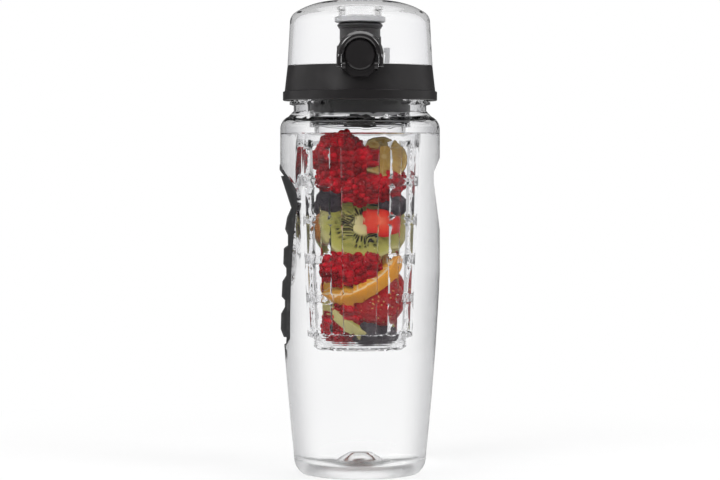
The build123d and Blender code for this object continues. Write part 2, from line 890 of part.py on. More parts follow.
def dome_line(arc_radius, edge_radius):
    """Arc of the dome from its edge to its flat centre, and the flat to the axis."""
    edge_angle = asin((edge_radius - dome_flat_radius) / arc_radius)
    start = (edge_radius, dome_centre + arc_radius * cos(edge_angle))
    half = edge_angle / 2
    middle = (dome_flat_radius + arc_radius * sin(half), dome_centre + arc_radius * cos(half))
    top = dome_centre + arc_radius
    ThreePointArc(start, middle, (dome_flat_radius, top))
    Line((dome_flat_radius, top), (0, top))
    return start, (0, top)


with BuildPart() as cover:
    with BuildSketch(Plane.XZ):
        with BuildLine():
            dome_start, crown = dome_line(dome_arc_radius, dome_edge_radius)
            side_top = (cover_side_radius, cover_side_top)
            TangentArc(side_top, dome_start, tangent=(0, 1))
            Polyline(side_top, (lid_top_radius, cover_bottom), (0, cover_bottom), crown)
        make_face()
    revolve(axis=Axis.Z)
    with BuildSketch(Plane.XZ):
        with BuildLine():
            inner_start, ceiling = dome_line(
                dome_arc_radius - cover_top_wall, dome_edge_radius - cover_wall
            )
            inner_side_top = (cover_side_radius - cover_wall, cover_side_top - cover_wall)
            TangentArc(inner_side_top, inner_start, tangent=(0, 1))
            Polyline(
                inner_side_top,
                (lid_top_radius - cover_wall, cover_bottom),
                (0, cover_bottom),
                ceiling,
            )
        make_face()
    revolve(axis=Axis.Z, mode=Mode.SUBTRACT)
    # Boss for the seal
    with BuildSketch(Plane.XY.offset(cover_boss_bottom)):
        Circle(cover_boss_radius)
        Circle(cover_boss_radius - cover_boss_wall, mode=Mode.SUBTRACT)
    extrude(amount=overall_height - cover_top_wall / 2 - cover_boss_bottom)
    # Keeper rib round the notch
    for reach, back, rib_mode in (
        (notch_radius + keeper_rib_width, keeper_rib_back, Mode.ADD),
        (notch_radius, housing_back, Mode.SUBTRACT),
    ):
        with BuildSketch(Plane.XZ.offset(back)):
            with Locations((0, latch_height)):
                Circle(reach)
            with Locations((0, (latch_height + cover_bottom) / 2)):
                Rectangle(2 * reach, latch_height - cover_bottom)
            with Locations((0, cover_bottom - housing_radius)):
                Rectangle(4 * reach, 2 * housing_radius, mode=Mode.SUBTRACT)
        extrude(amount=keeper_rib_front - back, mode=rib_mode)
    # Keeper tooth over the catch
    with BuildSketch(Plane.XZ.offset(keeper_front - keeper_depth)):
        with Locations((0, (keeper_bottom + keeper_top) / 2)):
            Rectangle(2 * keeper_half_width, keeper_top - keeper_bottom)
    extrude(amount=keeper_depth)
    # Hinge knuckles
    for side in (-1, 1):
        knuckle_plane = Plane(
            origin=(side * (knuckle_inner + knuckle_outer) / 2, 0, 0),
            x_dir=(0, 1, 0),
            z_dir=(1, 0, 0),
        )
        with BuildSketch(knuckle_plane):
            with Locations((hinge_reach, hinge_height)):
                Circle(hinge_radius)
            with BuildLine():
                Polyline(
                    (ear_root_reach, cover_bottom),
                    (ear_root_reach, hinge_height + hinge_radius),
                    (hinge_reach, hinge_height + hinge_radius),
                    (hinge_reach, cover_bottom),
                    close=True,
                )
            make_face()
        extrude(amount=(knuckle_outer - knuckle_inner) / 2, both=True)
    with BuildSketch(Plane.YZ):
        with Locations((hinge_reach, hinge_height)):
            Circle(hinge_pin_radius + pin_gap)
    extrude(amount=body_radius, both=True, mode=Mode.SUBTRACT)
cover.part.label = "cover"

# Cover seal: cup that closes the spout, pushed onto the boss
with BuildPart() as cover_seal:
    with BuildSketch(Plane.XZ):
        with BuildLine():
            Polyline(
                (0, seal_face),
                (seal_radius - seal_round, seal_face),
                (seal_radius, seal_face + seal_round),
                (seal_radius, seal_top - seal_round),
                (seal_radius - seal_round, seal_top),
                (cover_boss_radius + seat_gap, seal_top),
                (cover_boss_radius + seat_gap, seal_face + seal_floor),
                (0, seal_face + seal_floor),
                close=True,
            )
        make_face()
    revolve(axis=Axis.Z)
cover_seal.part.label = "cover_seal"

# Latch button: cap, grooved stem and the catch arm with its hook
button_axis = Plane(origin=(0, 0, latch_height), x_dir=(1, 0, 0), z_dir=(0, 0, 1))
with BuildPart() as latch_button:
    stem_end = housing_back - stem_overhang
    groove_front = housing_back - pin_gap
    groove_back = groove_front - clip_thickness - pin_gap
    with BuildSketch(button_axis):
        with BuildLine():
            Polyline(
                (0, -button_front),
                (button_radius - button_bevel, -button_front),
                (button_radius, -button_front + button_bevel),
                (button_radius, -button_back),
                (stem_radius, -button_back),
                (stem_radius, -groove_front),
                (stem_radius - clip_groove, -groove_front),
                (stem_radius - clip_groove, -groove_back),
                (stem_radius, -groove_back),
                (stem_radius, -stem_end),
                (0, -stem_end),
                close=True,
            )
        make_face()
    revolve(axis=Axis((0, 0, latch_height), (0, 1, 0)))
    with BuildSketch(Plane.XZ.offset(catch_end)):
        with Locations((0, (catch_bottom + catch_top) / 2)):
            Rectangle(2 * catch_half_width, catch_top - catch_bottom)
    extrude(amount=button_back - catch_end)
    with BuildSketch(Plane.XZ.offset(catch_end)):
        with Locations((0, (catch_bottom + catch_hook_top) / 2)):
            Rectangle(2 * catch_half_width, catch_hook_top - catch_bottom)
    extrude(amount=catch_hook_depth)
latch_button.part.label = "latch_button"

# Button clip: washer in the groove of the stem, behind the housing
with BuildPart() as button_clip:
    with BuildSketch(Plane.XZ.offset(groove_front - clip_thickness)):
        with Locations((0, latch_height)):
            Circle(clip_radius)
            Circle(stem_radius - clip_groove + pin_gap, mode=Mode.SUBTRACT)
            with Locations((0, -clip_radius)):
                Rectangle(
                    2 * (stem_radius - clip_groove + pin_gap), 2 * clip_radius, mode=Mode.SUBTRACT
                )
    extrude(amount=clip_thickness)
button_clip.part.label = "button_clip"

# Button spring: compression coil between housing floor and button
spring_room = button_back - housing_floor
spring_pitch = (spring_room - 2 * spring_wire - 2 * pin_gap) / spring_turns
spring_frame = Plane(
    origin=(0, -housing_floor, latch_height), x_dir=(1, 0, 0), z_dir=(0, -1, 0)
)
with BuildPart() as button_spring:
    add(
        coil_tube(
            spring_frame,
            spring_coil_radius,
            spring_wire,
            spring_pitch,
            2 * spring_turns,
            spring_wire + pin_gap,
        )
    )
button_spring.part.label = "button_spring"

# Lock ring: arched bail that stands round the button and folds down in front of it
with BuildPart() as lock_ring:
    with BuildSketch(Plane.XZ.offset(lock_back)):
        with Locations((0, latch_height)):
            Circle(lock_outer_radius)
            Circle(lock_inner_radius, mode=Mode.SUBTRACT)
        with Locations((0, latch_height - lock_outer_radius / 2)):
            Rectangle(4 * lock_outer_radius, lock_outer_radius, mode=Mode.SUBTRACT)
    extrude(amount=lock_thickness)
    front_arcs = lock_ring.edges().filter_by(GeomType.CIRCLE).group_by(Axis.Y)[0]
    chamfer(front_arcs.sort_by(SortBy.RADIUS)[0], lock_inner_bevel)
    front_arcs = lock_ring.edges().filter_by(GeomType.CIRCLE).group_by(Axis.Y)[0]
    chamfer(front_arcs.sort_by(SortBy.RADIUS)[-1], lock_outer_bevel)
    for side in (-1, 1):
        leg_plane = Plane(
            origin=(side * (lock_outer_radius + lock_leg_inner) / 2, 0, 0),
            x_dir=(0, 1, 0),
            z_dir=(1, 0, 0),
        )
        with BuildSketch(leg_plane):
            with Locations((-lock_pivot_reach, lock_pivot_height)):
                Circle(lock_thickness / 2)
            with Locations((-lock_pivot_reach, (latch_height + lock_pivot_height) / 2)):
                Rectangle(lock_thickness, latch_height - lock_pivot_height)
        extrude(amount=(lock_outer_radius - lock_leg_inner) / 2, both=True)
    with BuildSketch(Plane.YZ):
        with Locations((-lock_pivot_reach, lock_pivot_height)):
            Circle(lock_pin_radius)
    extrude(amount=body_radius, both=True, mode=Mode.SUBTRACT)
lock_ring.part.label = "lock_ring"

# Lock pins: one through each leg of the lock ring
lock_pins = {}
for side, side_name in ((-1, "left"), (1, "right")):
    with BuildPart() as lock_pin:
        pin_plane = Plane(
            origin=(side * lock_pin_start, -lock_pivot_reach, lock_pivot_height),
            x_dir=(0, 1, 0),
            z_dir=(side, 0, 0),
        )
        with BuildSketch(pin_plane):
            Circle(lock_pin_radius)
        extrude(amount=lock_outer_radius - lock_pin_start)
    lock_pin.part.label = f"lock_pin_{side_name}"
    lock_pins[side_name] = lock_pin

# Hinge pin
with BuildPart() as hinge_pin:
    pin_half_length = ear_inner + ear_width + hinge_pin_overhang
    with BuildSketch(Plane.YZ):
        with Locations((hinge_reach, hinge_height)):
            Circle(hinge_pin_radius)
    extrude(amount=pin_half_length, both=True)
    chamfer(hinge_pin.edges().filter_by(GeomType.CIRCLE), hinge_pin_radius / 4)
hinge_pin.part.label = "hinge_pin"

# Hinge spring: torsion coil on the pin, one leg up and one leg down
torsion_frame = Plane(
    origin=(-torsion_turns * torsion_pitch / 2, hinge_reach, hinge_height),
    x_dir=(0, -1, 0),
    z_dir=(1, 0, 0),
)
with BuildPart() as hinge_spring:
    add(
        coil_tube(
            torsion_frame,
            torsion_coil_radius,
            torsion_wire,
            torsion_pitch,
            2 * torsion_turns,
            0.0,
            torsion_leg,
        )
    )
hinge_spring.part.label = "hinge_spring"

# Vent valve: soft blade on a foot, with a bulb under the deck
with BuildPart() as vent_valve:
    with BuildSketch(Plane.XY.offset(deck_top)):
        with Locations((valve_x, 0)):
            Circle(valve_foot_radius)
    extrude(amount=valve_foot_height)
    with BuildSketch(Plane.XY.offset(deck_underside)):
        with Locations((valve_x, 0)):
            Circle(valve_stem_radius)
    extrude(amount=deck_thickness)
    with BuildSketch(Plane.XY.offset(deck_underside - valve_bulb_height)):
        with Locations((valve_x, 0)):
            Circle(valve_bulb_radius)
    extrude(amount=valve_bulb_height)
    with BuildSketch(Plane.XY.offset(deck_top + valve_foot_height)):
        with Locations((valve_x, 0)):
            Rectangle(valve_blade_width, valve_blade_depth)
    with BuildSketch(Plane.XY.offset(valve_top)):
        with Locations((valve_x, 0)):
            Rectangle(valve_blade_top_width, valve_blade_depth)
    loft()
vent_valve.part.label = "vent_valve"

# Coil checks
for coil_name, coil_sizes in {
    "button_spring": (spring_coil_radius, spring_wire, spring_pitch),
    "hinge_spring": (torsion_coil_radius, torsion_wire, torsion_pitch),
}.items():
    print(f"{coil_name}: least gap between turns {least_coil_gap(*coil_sizes):.2f} mm")

# Files
os.makedirs("parts", exist_ok=True)
pieces = [
    bottle_body,
    grip_base,
    grip_pad,
    neck_gasket,
    lid_body,
    lid_insert,
    infuser_seal,
    infuser_basket,
    spout,
    spout_ring,
    cover,
    cover_seal,
    latch_button,
    button_clip,
    button_spring,
    lock_ring,
    *lock_pins.values(),
    hinge_pin,
    hinge_spring,
    vent_valve,
]
for piece in pieces:
    export_step(piece.part, f"parts/{piece.part.label}.step")
    print(f"{piece.part.label}: {len(piece.part.solids())} solid, {piece.part.volume:.0f} mm3")
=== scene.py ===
import json
import logging
import math
import random
from dataclasses import dataclass, field
from enum import Enum
from typing import Any, Callable, Sequence, Union

import bmesh
import bpy
from mathutils import Euler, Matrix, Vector

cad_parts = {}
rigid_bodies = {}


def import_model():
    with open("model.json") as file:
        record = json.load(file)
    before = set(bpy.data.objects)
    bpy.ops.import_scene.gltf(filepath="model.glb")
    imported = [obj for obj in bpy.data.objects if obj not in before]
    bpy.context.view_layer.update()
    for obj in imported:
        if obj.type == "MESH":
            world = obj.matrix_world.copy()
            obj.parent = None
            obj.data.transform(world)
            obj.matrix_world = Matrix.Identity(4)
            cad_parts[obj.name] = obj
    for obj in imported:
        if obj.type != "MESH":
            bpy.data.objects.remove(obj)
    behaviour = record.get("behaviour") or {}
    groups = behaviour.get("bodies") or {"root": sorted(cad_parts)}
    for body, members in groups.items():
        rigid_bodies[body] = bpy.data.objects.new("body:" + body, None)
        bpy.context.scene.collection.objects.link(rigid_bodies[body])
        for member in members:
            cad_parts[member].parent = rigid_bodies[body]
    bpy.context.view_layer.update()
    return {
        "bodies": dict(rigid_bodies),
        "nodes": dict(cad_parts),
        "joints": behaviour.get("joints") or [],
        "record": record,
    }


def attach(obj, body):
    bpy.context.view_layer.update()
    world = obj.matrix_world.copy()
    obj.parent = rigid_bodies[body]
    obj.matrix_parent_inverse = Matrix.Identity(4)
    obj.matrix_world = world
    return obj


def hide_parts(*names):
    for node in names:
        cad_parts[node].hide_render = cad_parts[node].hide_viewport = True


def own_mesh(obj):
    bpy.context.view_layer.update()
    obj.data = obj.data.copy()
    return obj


log = logging.getLogger("infuser_bottle")
Socket = bpy.types.NodeSocket
Material = bpy.types.Material
Piece = bpy.types.Object
Colour = tuple[float, float, float]
Place = tuple[float, float, float]
Pose = tuple[Place, Place]
Band = tuple[float, float]
Tones = tuple[Colour, Colour]
Stops = Sequence[tuple[float, Colour]]
Number = Union[float, "Value"]

WHITE: Colour = (1.0, 1.0, 1.0)
RED_DEPTH: Colour = (0.004, 0.001, 0.0008)
# Sockets of a Mix node that blends colours
MIX_FIRST, MIX_SECOND, MIX_RESULT = 6, 7, 2


class Pick(Enum):
    """What kind of element is selected in edit mode."""

    FACE = "FACE"
    EDGE = "EDGE"
    VERTEX = "VERT"


def rgba(colour: Colour) -> tuple[float, float, float, float]:
    """A colour with full alpha."""
    return (*colour, 1.0)


@dataclass(frozen=True)
class Value:
    """A float socket on which Python's operators add Math nodes."""

    graph: "Graph"
    socket: Socket

    def maths(self, operation: str, *others: Number, first: bool = True) -> "Value":
        """Adds one Math node, with this value as its first or its last operand."""
        operands = [self, *others] if first else [*others, self]
        return self.graph.value("ShaderNodeMath", {"operation": operation}, *operands)

    def __add__(self, other: Number) -> "Value":
        """Sum."""
        return self.maths("ADD", other)

    __radd__ = __add__

    def __mul__(self, other: Number) -> "Value":
        """Product."""
        return self.maths("MULTIPLY", other)

    __rmul__ = __mul__

    def __sub__(self, other: Number) -> "Value":
        """Difference."""
        return self.maths("SUBTRACT", other)

    def __rsub__(self, other: Number) -> "Value":
        """Reflected difference."""
        return self.maths("SUBTRACT", other, first=False)

    def __truediv__(self, other: Number) -> "Value":
        """Quotient."""
        return self.maths("DIVIDE", other)

    def __rtruediv__(self, other: Number) -> "Value":
        """Reflected quotient."""
        return self.maths("DIVIDE", other, first=False)

    def __pow__(self, other: Number) -> "Value":
        """Power."""
        return self.maths("POWER", other)

    def between(self, low: float, high: float) -> "Value":
        """A soft step that is 0 below low and 1 above high."""
        settings = {"interpolation_type": "SMOOTHSTEP"}
        return self.graph.value("ShaderNodeMapRange", settings, self, low, high, 0.0, 1.0)

    def ring(self, inner: Band, outer: Band) -> "Value":
        """A soft band that fades in over inner and out over outer."""
        return self.between(*inner) * (1.0 - self.between(*outer))


class Graph:
    """The node tree of one material or world, built from Python."""

    def __init__(self, tree: bpy.types.NodeTree) -> None:
        """Empties a node tree and takes it over."""
        self.tree = tree
        tree.nodes.clear()

    def node(self, kind: str, settings: dict[str, Any] | None = None, *values: Any,
             out: int | str = 0, **named: Any) -> Socket:
        """Adds a node, sets it up and links it.

        Args:
            kind: the node's type.
            settings: attributes of the node; stops are a ramp's positions and colours.
            values: values or sockets for the first inputs, in order.
            out: which output is wanted.
            named: values or sockets for inputs by name, with _ for a space.

        Returns:
            The wanted output socket.
        """
        made = self.tree.nodes.new(kind)
        for key, value in (settings or {}).items():
            if key == "stops":
                ramp = made.color_ramp
                while len(ramp.elements) < len(value):
                    ramp.elements.new(0.5)
                for element, (place, colour) in zip(ramp.elements, value):
                    element.position = place
                    element.color = rgba(colour)
            else:
                setattr(made, key, value)
        pairs = list(zip(made.inputs, values))
        pairs += [(made.inputs[key.replace("_", " ")], value) for key, value in named.items()]
        for socket, value in pairs:
            self.feed(socket, value)
        return made.outputs[out]

    def feed(self, socket: Socket, value: Any) -> None:
        """Links a socket or sets its value.

        Args:
            socket: the input.
            value: a Value, an output socket or a plain value.
        """
        if isinstance(value, Value):
            value = value.socket
        if isinstance(value, Socket):
            self.tree.links.new(value, socket)
        elif socket.type == "RGBA" and len(value) == 3:
            socket.default_value = rgba(value)
        else:
            socket.default_value = value

    def value(self, kind: str, settings: dict[str, Any] | None = None, *values: Any,
              out: int | str = 0, **named: Any) -> Value:
        """The same as node, but its output comes back as a Value."""
        return Value(self, self.node(kind, settings, *values, out=out, **named))

    def mix(self, share: Number, first: Any, second: Any) -> Socket:
        """Blends two colours.

        Args:
            share: how much of the second shows.
            first: colour or socket.
            second: colour or socket.

        Returns:
            The blended colour.
        """
        blended = self.node("ShaderNodeMix", {"data_type": "RGBA"}, share, out=MIX_RESULT)
        self.feed(blended.node.inputs[MIX_FIRST], first)
        self.feed(blended.node.inputs[MIX_SECOND], second)
        return blended

    def local(self, centre: Place = (0, 0, 0), turn: Place = (0, 0, 0)) -> Socket:
        """Object coordinates, brought into a turned and moved piece's own axes.

        Args:
            centre: the piece's centre in the row frame.
            turn: its rotation, in radians.

        Returns:
            The vector socket.
        """
        coordinates = self.node("ShaderNodeTexCoord", out="Object")
        settings = {"vector_type": "TEXTURE"}
        return self.node("ShaderNodeMapping", settings, coordinates,
                         Location=centre, Rotation=turn)

    def axes(self, vector: Socket, wanted: str) -> list[Value]:
        """The parts of a vector along the wanted axes."""
        return [self.value("ShaderNodeSeparateXYZ", None, vector, out=axis) for axis in wanted]

    def polar(self, place: Socket, radius: float) -> tuple[Value, Value]:
        """Distance from a round piece's middle, 1 at its radius, and the angle there."""
        x, y = self.axes(place, "XY")
        return ((x * x + y * y) ** 0.5) / radius, y.maths("ARCTAN2", x)

    def noise(self, vector: Socket, scale: float, detail: float = 2.0,
              roughness: float = 0.5) -> Value:
        """Noise from 0 to 1, with scale features to a metre and detail octaves."""
        return self.value("ShaderNodeTexNoise", None, Vector=vector, Scale=scale, Detail=detail,
                          Roughness=roughness, out="Fac")

    def cells(self, vector: Socket, scale: float, scatter: float = 1.0,
              dimensions: str = "2D") -> Value:
        """Distance from the nearest of many points, scale of them to a unit."""
        return self.value("ShaderNodeTexVoronoi", {"voronoi_dimensions": dimensions},
                          Vector=vector, Scale=scale, Randomness=scatter, out="Distance")

    def bump(self, height: Number, strength: float, distance: float) -> Socket:
        """A normal bent by a height from 0 to 1, where 1 stands for distance metres."""
        return self.node("ShaderNodeBump", None,
                         Strength=strength, Distance=distance, Height=height)

    def skin(self, **inputs: Any) -> Socket:
        """A Principled shader with the given inputs."""
        return self.node("ShaderNodeBsdfPrincipled", None, **inputs)

    def finish(self, shader: Socket, kind: str = "ShaderNodeOutputMaterial") -> None:
        """Connects a shader to the output."""
        made = self.tree.nodes.new(kind)
        self.tree.links.new(shader, made.inputs["Surface"])

    def finish_clear(self, shader: Socket, shadow: Colour) -> None:
        """Connects a clear wall's shader, and lets its shadow be pale.

        Args:
            shader: the wall's shader.
            shadow: what is left of light that goes through.
        """
        in_shadow = self.node("ShaderNodeLightPath", out="Is Shadow Ray")
        veil = self.node("ShaderNodeBsdfTransparent", None, Color=shadow)
        self.finish(self.node("ShaderNodeMixShader", None, in_shadow, shader, veil))

    def finish_flesh(self, glow: float, depth: Colour, index: float = 1.18,
                     **inputs: Any) -> None:
        """Connects a softly glowing shader, of low index because fruit lies in water."""
        self.finish(self.skin(IOR=index, Subsurface_Weight=glow, Subsurface_Radius=depth,
                              Subsurface_Scale=0.5, **inputs))


@dataclass(frozen=True)
class Finish:
    """A procedural finish. Each kind draws its own nodes."""

    name: str

    def draw(self, graph: Graph) -> None:
        """Draws the nodes."""
        raise NotImplementedError

    def material(self) -> Material:
        """Builds the material.

        Returns:
            The material.
        """
        material = bpy.data.materials.new(self.name)
        material.use_nodes = True
        self.draw(Graph(material.node_tree))
        return material


@dataclass(frozen=True)
class CutFinish(Finish):
    """A finish that is drawn around the middle of one cut fruit."""

    centre: Place
    turn: Place
    radius: float


@dataclass(frozen=True)
class ClearPlastic(Finish):
    """Clear moulded plastic, greyed towards its outline by painted shade, with fine dust
    scratches.
    """

    tint: Colour = (0.955, 0.955, 0.962)
    pale: Colour = (0.99, 0.99, 0.99)
    # rim is the colour of the painted shade that greys upright walls towards their outline.
    rim: Colour = (0.64, 0.64, 0.65)
    shadow: Colour = (0.95, 0.955, 0.955)
    index: float = 1.15
    haze: float = 0.01
    scratch_scale: float = 900.0
    scratch_haze: float = 0.03
    flow_scale: float = 26.0
    wave: float = 0.02
    wave_height: float = 0.0006
    # Facing and slope bands where the painted outline shade shows.
    rim_facing: Band = (0.15, 0.6)
    rim_slope: Band = (0.25, 0.8)
    foot_height: float = 0.016
    foot_haze: float = 0.6

    def draw(self, graph: Graph) -> None:
        """Draws the nodes.

        Args:
            graph: their tree.
        """
        place = graph.local()
        flow = graph.noise(place, self.flow_scale, 1.0)
        scratches = graph.noise(place, self.scratch_scale).between(0.55, 0.8)
        foot = 1.0 - graph.axes(place, "Z")[0].between(0.0, self.foot_height)
        # Painted shade: upright walls grey towards the outline as they turn away from the ray.
        facing = graph.value("ShaderNodeLayerWeight", None, 0.5, out="Facing")
        lie = graph.axes(graph.node("ShaderNodeTexCoord", out="Normal"), "Z")[0]
        upright = 1.0 - lie.maths("ABSOLUTE").between(*self.rim_slope)
        rim = facing.between(*self.rim_facing) * upright
        graph.finish_clear(graph.skin(
            Base_Color=graph.mix(rim, graph.mix(flow, self.tint, self.pale), self.rim),
            Roughness=scratches * self.scratch_haze + foot * self.foot_haze + self.haze,
            IOR=self.index,
            Transmission_Weight=1.0,
            Normal=graph.bump(flow, self.wave, self.wave_height),
        ), self.shadow)


@dataclass(frozen=True)
class Moulded(Finish):
    """Black moulded plastic, with spark-eroded grain and faint wear."""

    colour: Colour = (0.0105, 0.0092, 0.0098)
    roughness: float = 0.25
    grain: float = 0.25
    index: float = 1.5
    grain_scale: float = 2600.0
    grain_height: float = 0.00006
    wear_scale: float = 60.0
    wear_gain: float = 1.5
    wear_dust: float = 0.002

    def draw(self, graph: Graph) -> None:
        """Draws the nodes.

        Args:
            graph: their tree.
        """
        place = graph.local()
        grain = graph.noise(place, self.grain_scale, 3.0)
        wear = graph.noise(place, self.wear_scale, 3.0)
        worn = tuple(part * self.wear_gain + self.wear_dust for part in self.colour)
        graph.finish(graph.skin(
            Base_Color=graph.mix(wear.between(0.45, 0.75), self.colour, worn),
            Roughness=self.roughness + wear * 0.08 + grain * 0.06,
            IOR=self.index,
            Normal=graph.bump(grain, self.grain, self.grain_height),
        ))


@dataclass(frozen=True)
class Rubber(Finish):
    """Soft black rubber with a matt, slightly dusty skin."""

    colour: Colour = (0.028, 0.028, 0.029)
    dusty: Colour = (0.052, 0.051, 0.053)
    roughness: float = 0.5
    index: float = 1.48
    dust_scale: float = 180.0
    grain_scale: float = 1500.0
    grain: float = 0.4
    grain_height: float = 0.00012

    def draw(self, graph: Graph) -> None:
        """Draws the nodes.

        Args:
            graph: their tree.
        """
        place = graph.local()
        grain = graph.noise(place, self.grain_scale, 4.0, 0.6)
        dust = graph.noise(place, self.dust_scale, 3.0)
        graph.finish(graph.skin(
            Base_Color=graph.mix(dust.between(0.5, 0.8), self.colour, self.dusty),
            Roughness=self.roughness + dust * 0.12,
            IOR=self.index,
            Normal=graph.bump(grain, self.grain, self.grain_height),
        ))


@dataclass(frozen=True)
class Silicone(Finish):
    """Milky translucent silicone."""

    colour: Colour = (0.42, 0.42, 0.43)
    cloudy: Colour = (0.5, 0.5, 0.51)
    roughness: float = 0.34
    index: float = 1.41
    clearness: float = 0.2
    cloud_scale: float = 220.0
    cloud_height: float = 0.0001

    def draw(self, graph: Graph) -> None:
        """Draws the nodes.

        Args:
            graph: their tree.
        """
        cloud = graph.noise(graph.local(), self.cloud_scale, 3.0)
        graph.finish(graph.skin(
            Base_Color=graph.mix(cloud, self.colour, self.cloudy),
            Roughness=self.roughness + cloud * 0.12,
            IOR=self.index,
            Transmission_Weight=self.clearness,
            Normal=graph.bump(cloud, 0.2, self.cloud_height),
        ))


@dataclass(frozen=True)
class Steel(Finish):
    """Bright drawn steel."""

    colour: Colour = (0.66, 0.66, 0.67)
    bright: Colour = (0.8, 0.8, 0.81)
    roughness: float = 0.2
    drawn_scale: float = 3200.0
    drawn_height: float = 0.00002

    def draw(self, graph: Graph) -> None:
        """Draws the nodes.

        Args:
            graph: their tree.
        """
        drawn = graph.noise(graph.local(), self.drawn_scale)
        graph.finish(graph.skin(
            Base_Color=graph.mix(drawn, self.colour, self.bright),
            Metallic=1.0,
            Roughness=self.roughness + drawn * 0.18,
            Normal=graph.bump(drawn, 0.2, self.drawn_height),
        ))


@dataclass(frozen=True)
class Water(Finish):
    """Still, slightly fruit-tinted water."""

    tint: Colour = (0.99, 0.993, 0.99)
    shadow: Colour = (0.96, 0.965, 0.96)
    index: float = 1.333
    ripple_scale: float = 45.0
    ripple: float = 0.03
    ripple_height: float = 0.0004

    def draw(self, graph: Graph) -> None:
        """Draws the nodes.

        Args:
            graph: their tree.
        """
        ripple = graph.noise(graph.local(), self.ripple_scale, 1.0)
        graph.finish_clear(graph.skin(
            Base_Color=graph.mix(ripple, self.tint, WHITE),
            Roughness=0.0,
            IOR=self.index,
            Transmission_Weight=1.0,
            Normal=graph.bump(ripple, self.ripple, self.ripple_height),
        ), self.shadow)


@dataclass(frozen=True)
class BerryFlesh(Finish):
    """Skin of a whole berry: two colours in soft clouds over fine pores."""

    light: Colour
    dark: Colour
    roughness: float = 0.28
    glow: float = 0.12
    index: float = 1.12
    cloud_scale: float = 160.0
    pore_scale: float = 1400.0
    pore_height: float = 0.00015

    def draw(self, graph: Graph) -> None:
        """Draws the nodes.

        Args:
            graph: their tree.
        """
        place = graph.local()
        cloud = graph.noise(place, self.cloud_scale, 3.0)
        pores = graph.noise(place, self.pore_scale)
        graph.finish_flesh(
            self.glow, RED_DEPTH, self.index,
            Base_Color=graph.mix(cloud.between(0.35, 0.68), self.dark, self.light),
            Roughness=self.roughness + pores * 0.15,
            Normal=graph.bump(pores, 0.25, self.pore_height),
        )


@dataclass(frozen=True)
class KiwiFlesh(CutFinish):
    """Cut kiwi: pale core, rayed green flesh, a ring of black seeds and a peeled edge."""

    rays: float = 26.0
    seeds: int = 36
    glow: float = 0.1
    depth: Colour = (0.002, 0.002, 0.001)
    stops: Stops = (
        (0.0, (0.66, 0.56, 0.3)), (0.25, (0.6, 0.52, 0.25)), (0.33, (0.24, 0.2, 0.06)),
        (0.42, (0.34, 0.31, 0.09)), (0.6, (0.33, 0.3, 0.07)), (0.88, (0.38, 0.36, 0.09)),
        (0.95, (0.46, 0.42, 0.18)), (1.0, (0.4, 0.34, 0.15)),
    )
    ray_colour: Colour = (0.12, 0.125, 0.02)
    seed_colour: Colour = (0.008, 0.006, 0.005)
    edge_colour: Colour = (0.42, 0.37, 0.15)

    def draw(self, graph: Graph) -> None:
        """Draws the nodes.

        Args:
            graph: their tree.
        """
        place = graph.local(self.centre, self.turn)
        reach, angle = graph.polar(place, self.radius)
        wobble = graph.noise(place, 120.0) - 0.5
        rays = (angle * self.rays + wobble * 3.0).maths("SINE") * 0.5 + 0.5
        far = reach + wobble * 0.08
        flesh = graph.node("ShaderNodeValToRGB", {"stops": self.stops}, far)
        shown = rays * far.ring((0.22, 0.36), (0.6, 0.78)) * 0.65
        rayed = graph.mix(shown, flesh, self.ray_colour)
        grid = graph.node("ShaderNodeCombineXYZ", None,
                          angle * (self.seeds / math.tau), reach * 2.6 + 0.3, 0.0)
        pips = 1.0 - graph.cells(grid, 1.0, 0.5).between(0.26, 0.36)
        seeds = pips * far.ring((0.26, 0.34), (0.6, 0.7))
        seeded = graph.mix(seeds, rayed, self.seed_colour)
        edge = reach.between(0.965, 0.985)
        graph.finish_flesh(
            self.glow, self.depth,
            Base_Color=graph.mix(edge, seeded, self.edge_colour),
            Roughness=0.25 + edge * 0.3,
            Normal=graph.bump(rays * 0.4 + wobble - seeds * 0.8, 0.4, 0.0005),
        )


@dataclass(frozen=True)
class CitrusFlesh(CutFinish):
    """Cut orange: juice cells in segments, pale membranes, white pith and orange rind."""

    segments: int = 10
    glow: float = 0.15
    depth: Colour = (0.004, 0.002, 0.0008)
    juices: Tones = ((0.62, 0.24, 0.02), (0.72, 0.38, 0.05))
    pith: Colour = (0.72, 0.54, 0.32)
    rind: Colour = (0.66, 0.28, 0.03)
    core_edge: Band = (0.08, 0.14)
    pith_edge: Band = (0.84, 0.88)
    rind_edge: Band = (0.94, 0.965)

    def draw(self, graph: Graph) -> None:
        """Draws the nodes.

        Args:
            graph: their tree.
        """
        place = graph.local(self.centre, self.turn)
        reach, angle = graph.polar(place, self.radius)
        wobble = graph.noise(place, 90.0) - 0.5
        turnings = (angle * (self.segments / math.tau) + wobble * 0.12).maths("FRACT")
        wall = ((turnings - 0.5).maths("ABSOLUTE") * 2.0).between(0.86, 0.97)
        grid = graph.node("ShaderNodeCombineXYZ", None, angle * 9.0, reach * 5.0, 0.0)
        cells = graph.cells(grid, 1.4)
        juice = graph.mix(cells.between(0.1, 0.6), *self.juices)
        inner = graph.mix(wall, juice, self.pith)
        cored = graph.mix(1.0 - reach.between(*self.core_edge), inner, self.pith)
        ringed = graph.mix(reach.between(*self.pith_edge), cored, self.pith)
        graph.finish_flesh(
            self.glow, self.depth,
            Base_Color=graph.mix(reach.between(*self.rind_edge), ringed, self.rind),
            Roughness=0.28 + wall * 0.2,
            Normal=graph.bump(cells * 0.5 + wall * 0.5, 0.45, 0.0006),
        )


